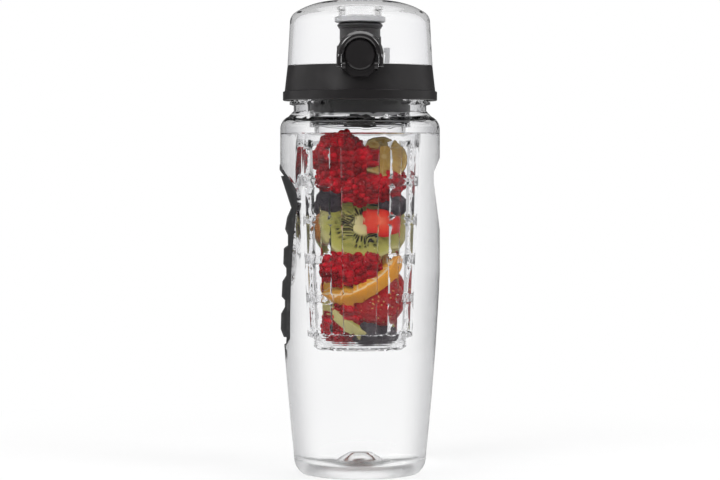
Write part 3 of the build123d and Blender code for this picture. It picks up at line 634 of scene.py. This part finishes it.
@dataclass(frozen=True)
class StrawberryFlesh(CutFinish):
    """Strawberry: seeded red skin outside, and a paler heart where it is cut."""

    glow: float = 0.12
    skins: Tones = ((0.26, 0.002, 0.006), (0.48, 0.006, 0.01))
    seed_colour: Colour = (0.62, 0.3, 0.1)
    seed_scale: float = 420.0
    stops: Stops = (
        (0.0, (0.72, 0.16, 0.08)), (0.35, (0.66, 0.06, 0.03)),
        (0.7, (0.6, 0.03, 0.015)), (1.0, (0.45, 0.008, 0.01)),
    )

    def draw(self, graph: Graph) -> None:
        """Draws the nodes.

        Args:
            graph: their tree.
        """
        place = graph.local(self.centre, self.turn)
        cells = graph.cells(place, self.seed_scale, 0.35, "3D")
        seed = 1.0 - cells.between(0.16, 0.24)
        pit = 1.0 - cells.between(0.2, 0.55)
        cloud = graph.noise(place, 110.0, 3.0)
        seeded = graph.mix(seed, graph.mix(cloud, *self.skins), self.seed_colour)
        x, y, z = graph.axes(place, "XYZ")
        heart = ((x * x + (z * 0.8) * (z * 0.8)) ** 0.5) / self.radius + (cloud - 0.5) * 0.25
        cut = graph.node("ShaderNodeValToRGB", {"stops": self.stops}, heart)
        flat = 1.0 - (y / self.radius).maths("ABSOLUTE").between(0.02, 0.05)
        graph.finish_flesh(
            self.glow, RED_DEPTH,
            Base_Color=graph.mix(flat, seeded, cut),
            Roughness=0.26 + cloud * 0.1,
            Normal=graph.bump((seed - pit) * (1.0 - flat), 0.6, 0.0008),
        )


class Bench:
    """Modelling moves that every piece uses."""

    @staticmethod
    def clear() -> None:
        """Leaves edit mode and deselects everything."""
        if bpy.context.object and bpy.context.object.mode != "OBJECT":
            bpy.ops.object.mode_set(mode="OBJECT")
        bpy.ops.object.select_all(action="DESELECT")

    @staticmethod
    def take(piece: Piece) -> None:
        """Selects one object alone and makes it active.

        Args:
            piece: the object.
        """
        Bench.clear()
        piece.select_set(True)
        bpy.context.view_layer.objects.active = piece

    @staticmethod
    def named(name: str) -> Piece:
        """Names the object that was just added.

        Args:
            name: its name.

        Returns:
            The object.
        """
        piece = bpy.context.object
        piece.name = piece.data.name = name
        return piece

    @staticmethod
    def pick(piece: Piece, test: Callable[[Vector, Vector], bool] = lambda middle, run: True,
             kind: Pick = Pick.FACE) -> None:
        """Enters edit mode with the elements selected whose middle and normal pass a test.

        Args:
            piece: the mesh object.
            test: called with the middle and the normal, or with an edge's middle and run.
            kind: what is selected.
        """
        Bench.take(piece)
        bpy.ops.object.mode_set(mode="EDIT")
        bpy.ops.mesh.select_mode(type=kind.value)
        bpy.ops.mesh.select_all(action="DESELECT")
        mesh = bmesh.from_edit_mesh(piece.data)
        if kind is Pick.FACE:
            for face in mesh.faces:
                face.select_set(test(face.calc_center_median(), face.normal))
        elif kind is Pick.EDGE:
            for edge in mesh.edges:
                start, end = (vertex.co for vertex in edge.verts)
                edge.select_set(test((start + end) / 2, end - start))
        else:
            for vertex in mesh.verts:
                vertex.select_set(test(vertex.co, vertex.normal))
        mesh.select_flush_mode()
        bmesh.update_edit_mesh(piece.data)

    @staticmethod
    def modify(piece: Piece, kind: str, **settings: Any) -> None:
        """Adds a modifier and applies it.

        Args:
            piece: the mesh object.
            kind: the modifier's type.
            settings: its attributes.
        """
        Bench.take(piece)
        modifier = piece.modifiers.new(kind.lower(), kind)
        for key, value in settings.items():
            setattr(modifier, key, value)
        bpy.ops.object.modifier_apply(modifier=modifier.name)

    @staticmethod
    def settle(piece: Piece) -> None:
        """Moves the piece's place into its mesh."""
        Bench.take(piece)
        bpy.ops.object.transform_apply(location=True, rotation=True, scale=True)

    @staticmethod
    def soften(piece: Piece, degrees: float) -> None:
        """Shades the piece smooth below an angle."""
        Bench.take(piece)
        bpy.ops.object.shade_smooth_by_angle(angle=math.radians(degrees))

    @staticmethod
    def copy(piece: Piece, name: str) -> Piece:
        """Copies an object with its own mesh.

        Args:
            piece: the object.
            name: the copy's name.

        Returns:
            The copy.
        """
        twin = piece.copy()
        twin.data = piece.data.copy()
        twin.name = twin.data.name = name
        bpy.context.scene.collection.objects.link(twin)
        return twin

    @staticmethod
    def join(pieces: Sequence[Piece], name: str) -> Piece:
        """Joins objects into one mesh.

        Args:
            pieces: the objects.
            name: the whole's name.

        Returns:
            The whole.
        """
        Bench.take(pieces[0])
        for piece in pieces:
            piece.select_set(True)
        bpy.ops.object.join()
        return Bench.named(name)

    @staticmethod
    def paint(piece: Piece, material: Material) -> None:
        """Gives an object one material on all its slots.

        Args:
            piece: the object.
            material: the material.
        """
        if not piece.material_slots:
            piece.data.materials.append(material)
        for slot in piece.material_slots:
            slot.link = "OBJECT"
            slot.material = material


@dataclass
class Hardware:
    """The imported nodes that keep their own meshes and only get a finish."""

    frame: dict[str, Any]
    black: Sequence[str] = ("lid_body", "lid_insert", "spout", "latch_button")
    rubber: Sequence[str] = ("grip_base", "grip_pad")
    seals: Sequence[str] = ("neck_gasket", "infuser_seal", "cover_seal")
    steel: Sequence[str] = (
        "button_clip", "lock_pin_left", "lock_pin_right", "hinge_pin", "hinge_spring",
    )
    valve_white: Colour = (0.68, 0.68, 0.69)

    def dress(self) -> None:
        """Puts a material on each node."""
        finishes = [
            (self.black, Moulded("black_moulding")),
            (self.rubber, Rubber("grip_rubber")),
            (self.seals, Silicone("seal_silicone")),
            (("vent_valve",), Silicone("valve_silicone", self.valve_white)),
            (("spout_ring",), Rubber("ring_rubber", roughness=0.4)),
            (self.steel, Steel("drawn_steel")),
        ]
        for nodes, finish in finishes:
            material = finish.material()
            for node in nodes:
                Bench.paint(self.frame["nodes"][node], material)
                log.info("dressed %s", node)


@dataclass
class SmoothShells:
    """The clear mouldings, the lock ring and the button's spring: smoothed copies of nodes."""

    frame: dict[str, Any]
    merge: float = 0.00002
    angle: float = 50.0
    cover_angle: float = 35.0
    bail_angle: float = 62.0
    coil_angle: float = 60.0
    stroke: float = 0.0022
    # Colours of the painted shade at the outlines of the basket and the cover.
    basket_rim: Colour = (0.86, 0.86, 0.87)
    cover_rim: Colour = (0.9, 0.9, 0.91)

    def smoothed(self, node: str, name: str, degrees: float) -> Piece:
        """Copies a node with its triangles merged and shaded smooth.

        Args:
            node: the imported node.
            name: the copy's name.
            degrees: the sharpest smooth angle.

        Returns:
            The copy, not yet riding on a body.
        """
        twin = Bench.copy(self.frame["nodes"][node], name)
        twin.parent = None
        twin.hide_viewport = twin.hide_render = False
        for key in list(twin.keys()):
            del twin[key]
        Bench.pick(twin, kind=Pick.VERTEX)
        bpy.ops.mesh.remove_doubles(threshold=self.merge)
        Bench.clear()
        Bench.soften(twin, degrees)
        return twin

    def stand_in(self, node: str, name: str, body: str, degrees: float,
                 finish: Finish) -> Piece:
        """Puts a smoothed and dressed copy in a node's place.

        Args:
            node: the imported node.
            name: the copy's name.
            body: the body that it rides on.
            degrees: the sharpest smooth angle.
            finish: its finish.

        Returns:
            The copy.
        """
        piece = self.smoothed(node, name, degrees)
        Bench.paint(piece, finish.material())
        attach(piece, body)
        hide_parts(node)
        log.info("made %s", name)
        return piece

    def build(self) -> None:
        """Makes the clear shells, the lock ring and the button's spring."""
        self.stand_in("bottle_body", "bottle_shell", "bottle", self.angle,
                      ClearPlastic("bottle_clear"))
        self.stand_in("infuser_basket", "basket_shell", "basket", self.angle,
                      ClearPlastic("basket_clear", index=1.12, rim=self.basket_rim))
        self.stand_in("cover", "cover_shell", "flip_cover", self.cover_angle,
                      ClearPlastic("cover_clear", index=1.1, rim=self.cover_rim))
        self.stand_in("lock_ring", "lock_bail", "lock", self.bail_angle,
                      Moulded("polished_moulding", roughness=0.06, grain=0.05, index=1.75))
        coil = self.stand_in("button_spring", "button_coil", "lid", self.coil_angle,
                             Steel("spring_steel"))
        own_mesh(coil)


@dataclass
class Drink:
    """The water that fills the bottle up to just under the lid."""

    shells: SmoothShells
    level: float = 0.192
    bite: float = 0.00015
    seed_reach: float = 0.004
    rim_depth: float = 0.0003
    rim_slope: float = 0.0001
    meniscus_width: float = 0.0012
    meniscus_drop: float = 0.0006
    angle: float = 40.0

    def build(self) -> None:
        """Cuts the water's skin from the inside of the bottle."""
        piece = self.shells.smoothed("bottle_body", "water", self.shells.angle)
        Bench.pick(piece, kind=Pick.VERTEX)
        bpy.ops.mesh.bisect(plane_co=(0, 0, self.level), plane_no=(0, 0, 1), clear_outer=True)
        bpy.ops.mesh.select_all(action="DESELECT")
        mesh = bmesh.from_edit_mesh(piece.data)
        middle = (v for v in mesh.verts if v.co.xy.length < self.seed_reach)
        max(middle, key=lambda v: v.co.z).select_set(True)
        bmesh.update_edit_mesh(piece.data)
        bpy.ops.mesh.select_linked()
        bpy.ops.mesh.select_all(action="INVERT")
        bpy.ops.mesh.delete(type="VERT")
        bpy.ops.mesh.select_all(action="SELECT")
        bpy.ops.mesh.flip_normals()
        bpy.ops.transform.shrink_fatten(value=self.bite)
        rim = self.level - self.rim_depth
        Bench.pick(piece, lambda at, run: at.z > rim and abs(run.z) < self.rim_slope, Pick.EDGE)
        bpy.ops.mesh.edge_face_add()
        bpy.ops.mesh.select_mode(type="FACE")
        bpy.ops.mesh.inset(thickness=self.meniscus_width, depth=-self.meniscus_drop)
        Bench.clear()
        Bench.soften(piece, self.angle)
        Bench.paint(piece, Water("still_water").material())
        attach(piece, "bottle")
        log.info("made water")


@dataclass
class Raspberry:
    """One raspberry, a core under rows of drupelets."""

    length: float = 0.019
    radius: float = 0.0092
    core_share: float = 0.86
    drupelet: float = 0.0021
    spacing: float = 1.75
    sunk: float = 0.94
    rows: int = 7
    size_wander: float = 0.12
    height_wander: float = 0.0003
    wander: random.Random = field(default_factory=lambda: random.Random(7))

    def build(self, name: str) -> Piece:
        """Models the berry at the origin, tip up.

        Args:
            name: the object's name.

        Returns:
            The berry.
        """
        Bench.clear()
        bpy.ops.mesh.primitive_uv_sphere_add(
            segments=14, ring_count=9, radius=self.radius * self.core_share)
        core = Bench.named(f"{name}_core")
        core.scale = (1.0, 1.0, self.length / self.radius / 2)
        Bench.settle(core)
        Bench.clear()
        bpy.ops.mesh.primitive_ico_sphere_add(subdivisions=2, radius=self.drupelet)
        grain = Bench.named(f"{name}_drupelet")
        parts = [core]
        for row in range(self.rows):
            share = (row + 0.5) / self.rows
            height = (share - 0.5) * self.length
            reach = self.radius * math.sqrt(max(0.05, 1 - (2 * share - 0.9) ** 2)) * self.sunk
            count = max(3, int(math.tau * reach / (self.drupelet * self.spacing)))
            for step in range(count):
                angle = math.tau * (step + row % 2 / 2) / count
                twin = Bench.copy(grain, f"{name}_part")
                size = 1 + self.wander.uniform(-self.size_wander, self.size_wander)
                twin.scale = (size, size, size)
                lift = self.wander.uniform(-self.height_wander, self.height_wander)
                twin.location = (reach * math.cos(angle), reach * math.sin(angle), height + lift)
                parts.append(twin)
        parts.append(grain)
        grain.location = (0, 0, self.length * 0.49)
        berry = Bench.join(parts, name)
        Bench.settle(berry)
        Bench.soften(berry, 180.0)
        return berry


@dataclass
class Blueberry:
    """One blueberry with its crown."""

    radius: float = 0.0075
    flatness: float = 0.86
    crown_slope: float = 0.93
    crown_width: float = 0.08
    crown_steps: Band = (0.1, -0.16)

    def build(self, name: str) -> Piece:
        """Models the berry at the origin, crown up.

        Args:
            name: the object's name.

        Returns:
            The berry.
        """
        Bench.clear()
        bpy.ops.mesh.primitive_uv_sphere_add(segments=20, ring_count=14, radius=self.radius)
        berry = Bench.named(name)
        berry.scale = (1.0, 1.0, self.flatness)
        Bench.settle(berry)
        Bench.pick(berry, lambda middle, normal: normal.z > self.crown_slope)
        for height in self.crown_steps:
            bpy.ops.mesh.inset(
                thickness=self.radius * self.crown_width, depth=self.radius * height)
        Bench.modify(berry, "SUBSURF", levels=1, render_levels=1)
        Bench.soften(berry, 180.0)
        return berry


@dataclass
class Slice:
    """One round slice of a larger fruit."""

    radius: float
    thickness: float
    edge_share: float = 0.06
    middle_share: float = 0.5
    bevel_share: float = 0.12
    warp: float = 0.0006

    def build(self, name: str) -> Piece:
        """Models the slice flat at the origin.

        Args:
            name: the object's name.

        Returns:
            The slice.
        """
        Bench.clear()
        bpy.ops.mesh.primitive_cylinder_add(vertices=64, radius=self.radius, depth=self.thickness)
        piece = Bench.named(name)
        Bench.pick(piece, lambda middle, normal: abs(normal.z) > 0.9)
        bpy.ops.mesh.inset(thickness=self.radius * self.edge_share)
        bpy.ops.mesh.inset(thickness=self.radius * self.middle_share, depth=self.warp)
        Bench.modify(piece, "BEVEL", width=self.thickness * self.bevel_share, segments=2,
                     limit_method="ANGLE")
        Bench.soften(piece, 50.0)
        return piece


@dataclass
class Strawberry:
    """One strawberry, whole or halved along its length."""

    length: float = 0.034
    radius: float = 0.0135
    halved: bool = True
    rings: int = 24
    outline: Sequence[Band] = (
        (-1.0, 0.35), (-0.8, 0.6), (-0.5, 0.8), (-0.1, 0.95), (0.3, 1.05), (0.7, 1.12), (1.0, 0.9),
    )

    def girth(self, share: float) -> float:
        """Scale of a ring.

        Args:
            share: the ring's height, from -1 to 1.

        Returns:
            The scale.
        """
        for (low, first), (high, second) in zip(self.outline, self.outline[1:]):
            if share <= high:
                return first + (second - first) * (share - low) / (high - low)
        return self.outline[-1][1]

    def build(self, name: str) -> Piece:
        """Models the berry at the origin, tip down, its cut face towards -Y.

        Args:
            name: the object's name.

        Returns:
            The berry.
        """
        Bench.clear()
        bpy.ops.mesh.primitive_uv_sphere_add(
            segments=32, ring_count=self.rings, radius=self.radius)
        berry = Bench.named(name)
        for ring in range(1, self.rings):
            height = self.radius * math.cos(math.pi * ring / self.rings)
            Bench.pick(berry, lambda at, normal: abs(at.z - height) < self.radius * 0.001,
                       Pick.VERTEX)
            girth = self.girth(height / self.radius)
            bpy.ops.transform.resize(value=(girth, girth, 1.0))
        Bench.clear()
        berry.scale = (1.0, 1.0, self.length / self.radius / 2)
        Bench.settle(berry)
        if self.halved:
            Bench.pick(berry, kind=Pick.VERTEX)
            bpy.ops.mesh.bisect(plane_co=(0, 0, 0), plane_no=(0, -1, 0), clear_outer=True)
            bpy.ops.mesh.select_mode(type="EDGE")
            bpy.ops.mesh.select_all(action="DESELECT")
            bpy.ops.mesh.select_non_manifold()
            bpy.ops.mesh.edge_face_add()
            bpy.ops.mesh.select_all(action="SELECT")
            bpy.ops.mesh.normals_make_consistent(inside=False)
            Bench.clear()
        Bench.soften(berry, 50.0)
        return berry


@dataclass
class FruitFill:
    """The fruit that is stacked in the basket. A pose is a fruit's centre and its turn."""

    cup_floor: float = 0.0725
    cup_top: float = 0.085
    cup_radius: float = 0.0176
    wall_foot: float = 0.0204
    wall_slope: float = 0.0324
    tries: int = 12
    raspberries: Sequence[Pose] = (
        ((-0.0105, -0.0105, 0.184), (0.3, 0.2, 0)),
        ((-0.001, -0.0125, 0.178), (1.3, 0.5, 0.3)),
        ((0.0105, -0.0105, 0.163), (0.4, 0.9, 0)),
        ((-0.0125, -0.009, 0.167), (1.2, -0.3, 0.2)),
        ((0.0005, -0.0125, 0.162), (0.2, -0.5, 0)),
        ((-0.011, 0.009, 0.178), (0.9, 0.2, 0)),
        ((0.01, 0.01, 0.166), (0.3, 0.6, 0)),
        ((-0.01, -0.0095, 0.1165), (1.1, 0.3, 0)),
        ((0.001, -0.0065, 0.1165), (0.3, 0.7, 0)),
        ((-0.0095, -0.0085, 0.0885), (0.7, 0.3, 0)),
        ((0.002, 0.0105, 0.125), (1.3, 0.1, 0)),
        ((-0.006, 0.009, 0.088), (1.1, 0.2, 0)),
        ((-0.0085, -0.0035, 0.0825), (1.4, 0.2, 0.5)),
    )
    raspberry_reds: Tones = ((0.5, 0.003, 0.014), (0.23, 0.001, 0.005))
    blueberries: Sequence[Pose] = (
        ((-0.0135, -0.0085, 0.1545), (0.9, 0.3, 0)),
        ((0.0155, -0.0065, 0.1515), (1.2, 0.2, 0)),
        ((0.0035, -0.0105, 0.079), (1.3, 0, 0)),
        ((0.0115, -0.006, 0.0785), (0.5, 0.4, 0)),
        ((0.0115, 0.0115, 0.152), (0.5, 0.4, 0)),
        ((-0.0125, 0.0105, 0.15), (0.4, 0.1, 0)),
    )
    blueberry_blues: Tones = ((0.075, 0.06, 0.07), (0.02, 0.014, 0.02))
    kiwis: Sequence[Pose] = (
        ((0.0012, -0.0066, 0.1405), (1.52, 0, 0.1)),
        ((0, -0.0015, 0.0865), (0.3, 0.66, 0)),
        ((0, 0.0125, 0.136), (1.62, 0, 0)),
    )
    kiwi_radii: Sequence[float] = (0.0195, 0.0178, 0.0178)
    kiwi_thickness: float = 0.0048
    oranges: Sequence[Pose] = (
        ((0.001, -0.001, 0.1105), (0.42, -0.6, 0)),
        ((0.0095, -0.0085, 0.1775), (1.25, 0.5, 0.35)),
        ((-0.015, -0.0015, 0.1385), (1.45, 0, 0.7)),
    )
    orange_radii: Sequence[float] = (0.019, 0.0122, 0.0095)
    orange_thickness: float = 0.0062
    # Tone overrides for each orange slice: the first keeps the orange's own colours; the second
    # and third are darker copies of them, painted shade.
    orange_tones: Sequence[dict[str, Any]] = (
        {},
        {"juices": ((0.3, 0.15, 0.03), (0.4, 0.25, 0.06)), "pith": (0.46, 0.32, 0.12),
         "rind": (0.2, 0.1, 0.03)},
        {"juices": ((0.4, 0.15, 0.03), (0.48, 0.22, 0.05)), "pith": (0.5, 0.3, 0.12),
         "rind": (0.38, 0.14, 0.03)},
    )
    strawberries: Sequence[Pose] = (
        ((0.0075, -0.0045, 0.0975), (0, 1.8, 0)),
        ((0.0119, -0.0139, 0.1425), (0.05, 2.18, 0)),
        ((0.006, 0.0115, 0.102), (0, 0.4, 3.1)),
    )
    strawberry_sizes: Sequence[Strawberry] = field(default_factory=lambda: (
        Strawberry(length=0.028, radius=0.0142, halved=False),
        Strawberry(length=0.0195, radius=0.0074),
        Strawberry(),
    ))

    def wall_at(self, height: float) -> float:
        """Inner radius of the basket at a height."""
        cone = self.wall_foot + (height - self.cup_top) * self.wall_slope
        return self.cup_radius if height < self.cup_top else cone

    def fitted(self, piece: Piece, pose: Pose) -> Pose:
        """Moves a fruit up and inwards until it clears the basket's floor and wall.

        Args:
            piece: the fruit, at the origin.
            pose: its wished pose.

        Returns:
            Its pose in the basket.
        """
        centre, turn = Vector(pose[0]), pose[1]
        spin = Euler(turn).to_matrix()
        corners = [spin @ vertex.co for vertex in piece.data.vertices]
        lowest = centre.z + min(corner.z for corner in corners)
        centre.z += max(0.0, self.cup_floor - lowest)
        for _ in range(self.tries):
            spots = [corner + centre for corner in corners]
            past, spot = max(
                ((spot.xy.length - self.wall_at(spot.z), spot) for spot in spots),
                key=lambda pair: pair[0],
            )
            if past <= 0:
                break
            centre -= Vector((spot.x, spot.y, 0.0)).normalized() * past
        return tuple(centre), turn

    def settle(self, piece: Piece, pose: Pose, material: Material) -> None:
        """Puts one fruit in the basket.

        Args:
            piece: the fruit, at the origin.
            pose: its pose in the basket.
            material: its finish.
        """
        piece.location, piece.rotation_euler = pose[0], Euler(pose[1])
        Bench.settle(piece)
        Bench.paint(piece, material)
        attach(piece, "basket")
        log.info("made %s", piece.name)

    def scatter(self, berry: Raspberry | Blueberry, kind: str,
                poses: Sequence[Pose], material: Material) -> None:
        """Models one berry and puts a copy in each pose.

        Args:
            berry: the berry to model.
            kind: the copies' name, before their number.
            poses: each copy's wished pose.
            material: its finish.
        """
        last = len(poses) - 1
        master = berry.build(f"{kind}_{last}")
        for number, pose in enumerate(poses[:last]):
            piece = Bench.copy(master, f"{kind}_{number}")
            self.settle(piece, self.fitted(piece, pose), material)
        self.settle(master, self.fitted(master, poses[last]), material)

    def build(self) -> None:
        """Models and stacks all the fruit."""
        red = BerryFlesh("raspberry_red", *self.raspberry_reds, roughness=0.2)
        blue = BerryFlesh("blueberry_skin", *self.blueberry_blues, roughness=0.45, glow=0.0)
        self.scatter(Raspberry(), "raspberry", self.raspberries, red.material())
        self.scatter(Blueberry(), "blueberry", self.blueberries, blue.material())
        for number, (pose, radius) in enumerate(zip(self.kiwis, self.kiwi_radii)):
            piece = Slice(radius, self.kiwi_thickness).build(f"kiwi_slice_{number}")
            pose = self.fitted(piece, pose)
            finish = KiwiFlesh(f"kiwi_flesh_{number}", *pose, radius)
            self.settle(piece, pose, finish.material())
        for number, (pose, radius) in enumerate(zip(self.oranges, self.orange_radii)):
            piece = Slice(radius, self.orange_thickness).build(f"orange_slice_{number}")
            pose = self.fitted(piece, pose)
            # The darker tones paint shade onto the second and third slices.
            tones = self.orange_tones[number]
            finish = CitrusFlesh(f"orange_flesh_{number}", *pose, radius, **tones)
            self.settle(piece, pose, finish.material())
        for number, (pose, size) in enumerate(zip(self.strawberries, self.strawberry_sizes)):
            piece = size.build(f"strawberry_{number}")
            pose = self.fitted(piece, pose)
            finish = StrawberryFlesh(f"strawberry_flesh_{number}", *pose, size.radius)
            self.settle(piece, pose, finish.material())


@dataclass(frozen=True)
class Lamp:
    """A soft rectangular lamp: its place, its width and height, and its power in watts."""

    name: str
    at: Place
    size: Band
    power: float

    def hang(self, target: Place) -> None:
        """Hangs the lamp.

        Args:
            target: what it points at.
        """
        light = bpy.data.lights.new(self.name, "AREA")
        light.shape = "RECTANGLE"
        light.size, light.size_y = self.size
        light.energy = self.power
        holder = bpy.data.objects.new(self.name, light)
        holder.location = self.at
        aim = Vector(target) - Vector(self.at)
        holder.rotation_euler = aim.to_track_quat("-Z", "Y").to_euler()
        bpy.context.scene.collection.objects.link(holder)


@dataclass
class Studio:
    """Pale floor, soft lamps, white surroundings and the camera."""

    floor_radius: float = 1.2
    papers: Tones = ((0.86, 0.86, 0.86), (0.9, 0.9, 0.9))
    eye: Place = (0.0, -1.35, 0.176)
    lens: float = 119.0
    shift: float = -0.109
    fill: float = 0.6
    inner_cut: float = 0.4
    gloss_dim: float = 0.1
    side_gloss: float = 0.5
    inner_glow: float = 0.5
    target: Place = (0.0, 0.0, 0.13)
    lamps: Sequence[Lamp] = (
        Lamp("left_lamp", (-0.65, -0.8, 0.9), (0.5, 0.4), 6.0),
        Lamp("right_lamp", (0.85, -0.55, 0.95), (0.4, 0.4), 4.0),
        Lamp("top_lamp", (0.05, -0.1, 1.1), (1.0, 0.8), 5.0),
    )
    bounces: int = 24
    clear_bounces: int = 32

    def sorted_rays(self, graph: Graph) -> tuple[Value, Value, Value, Value]:
        """Tells rays apart by what they met on their way from the camera.

        Args:
            graph: the floor's or the world's node tree.

        Returns:
            Four masks: rays straight or through clear walls, mirrored rays, rays that left
            a matt surface through a clear wall, and mirrored rays out of a clear wall.
        """
        camera, through, gloss = (
            graph.value("ShaderNodeLightPath", out=f"Is {kind} Ray")
            for kind in ("Camera", "Transmission", "Glossy")
        )
        mirrors, matts = (
            graph.value("ShaderNodeLightPath", out=f"{kind} Depth").maths("MINIMUM", 1.0)
            for kind in ("Glossy", "Diffuse")
        )
        fresh = 1.0 - matts
        clear = (camera + through) * (1.0 - mirrors) * fresh
        mirrored = (gloss * (1.0 - through) + through * mirrors).maths("MINIMUM", 1.0) * fresh
        return clear, mirrored, through * matts, through * mirrors * fresh

    def floor(self) -> None:
        """Lays the floor."""
        Bench.clear()
        bpy.ops.mesh.primitive_circle_add(vertices=96, radius=self.floor_radius, fill_type="NGON")
        piece = Bench.named("studio_floor")
        material = bpy.data.materials.new("studio_floor")
        material.use_nodes = True
        graph = Graph(material.node_tree)
        place = graph.local()
        far = graph.value("ShaderNodeVectorMath", {"operation": "LENGTH"}, place, out="Value")
        speck = graph.noise(place, 40.0)
        paper = graph.skin(Base_Color=graph.mix(speck, *self.papers),
                           Roughness=0.7, Specular_IOR_Level=0.2)
        white = graph.node("ShaderNodeEmission", None, Color=WHITE, Strength=1.0)
        clear, mirrored, _, behind = self.sorted_rays(graph)
        share = clear * (far.between(0.06, 0.4) * 0.5 + 0.5)
        bright = graph.node("ShaderNodeMixShader", None, share, paper, white)
        dim = graph.node("ShaderNodeEmission", None, Color=WHITE,
                         Strength=behind * self.inner_glow + self.gloss_dim)
        away = mirrored * far.between(0.45, 0.8)
        graph.finish(graph.node("ShaderNodeMixShader", None, away, bright, dim))
        Bench.paint(piece, material)

    def world(self) -> None:
        """Lights the surroundings: white to look at, softer as a lamp."""
        world = bpy.data.worlds.new("studio")
        bpy.context.scene.world = world
        world.use_nodes = True
        graph = Graph(world.node_tree)
        clear, mirrored, inner, behind = self.sorted_rays(graph)
        x, z = graph.axes(graph.node("ShaderNodeTexCoord", out="Generated"), "XZ")
        sides = x.maths("ABSOLUTE").between(0.7, 0.95) * self.side_gloss
        above = z.between(0.5, 0.9) * self.side_gloss
        around = (sides + above + self.gloss_dim + behind * self.inner_glow).maths("MINIMUM", 1.0)
        rest = (1.0 - clear - mirrored) * (self.fill - inner * self.inner_cut)
        strength = clear + mirrored * around + rest
        back = graph.node("ShaderNodeBackground", None, Color=WHITE, Strength=strength)
        graph.finish(back, "ShaderNodeOutputWorld")

    def camera(self) -> None:
        """Sets the camera up as the photograph was taken."""
        data = bpy.data.cameras.new("camera")
        data.lens = self.lens
        data.shift_y = self.shift
        data.clip_start, data.clip_end = 0.05, 20.0
        holder = bpy.data.objects.new("camera", data)
        holder.location = self.eye
        holder.rotation_euler = (math.pi / 2, 0.0, 0.0)
        bpy.context.scene.collection.objects.link(holder)
        bpy.context.scene.camera = holder

    def build(self) -> None:
        """Sets the whole studio up."""
        self.floor()
        self.world()
        for lamp in self.lamps:
            lamp.hang(self.target)
        self.camera()
        scene = bpy.context.scene
        scene.view_settings.view_transform = "Standard"
        scene.cycles.max_bounces = scene.cycles.transmission_bounces = self.bounces
        scene.cycles.transparent_max_bounces = self.clear_bounces


def main() -> None:
    """Loads the frame, dresses it and adds the studio."""
    logging.basicConfig(level=logging.INFO, format="%(message)s")
    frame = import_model()
    Hardware(frame).dress()
    shells = SmoothShells(frame)
    shells.build()
    Drink(shells).build()
    FruitFill().build()
    Studio().build()


if __name__ == "__main__":
    main()
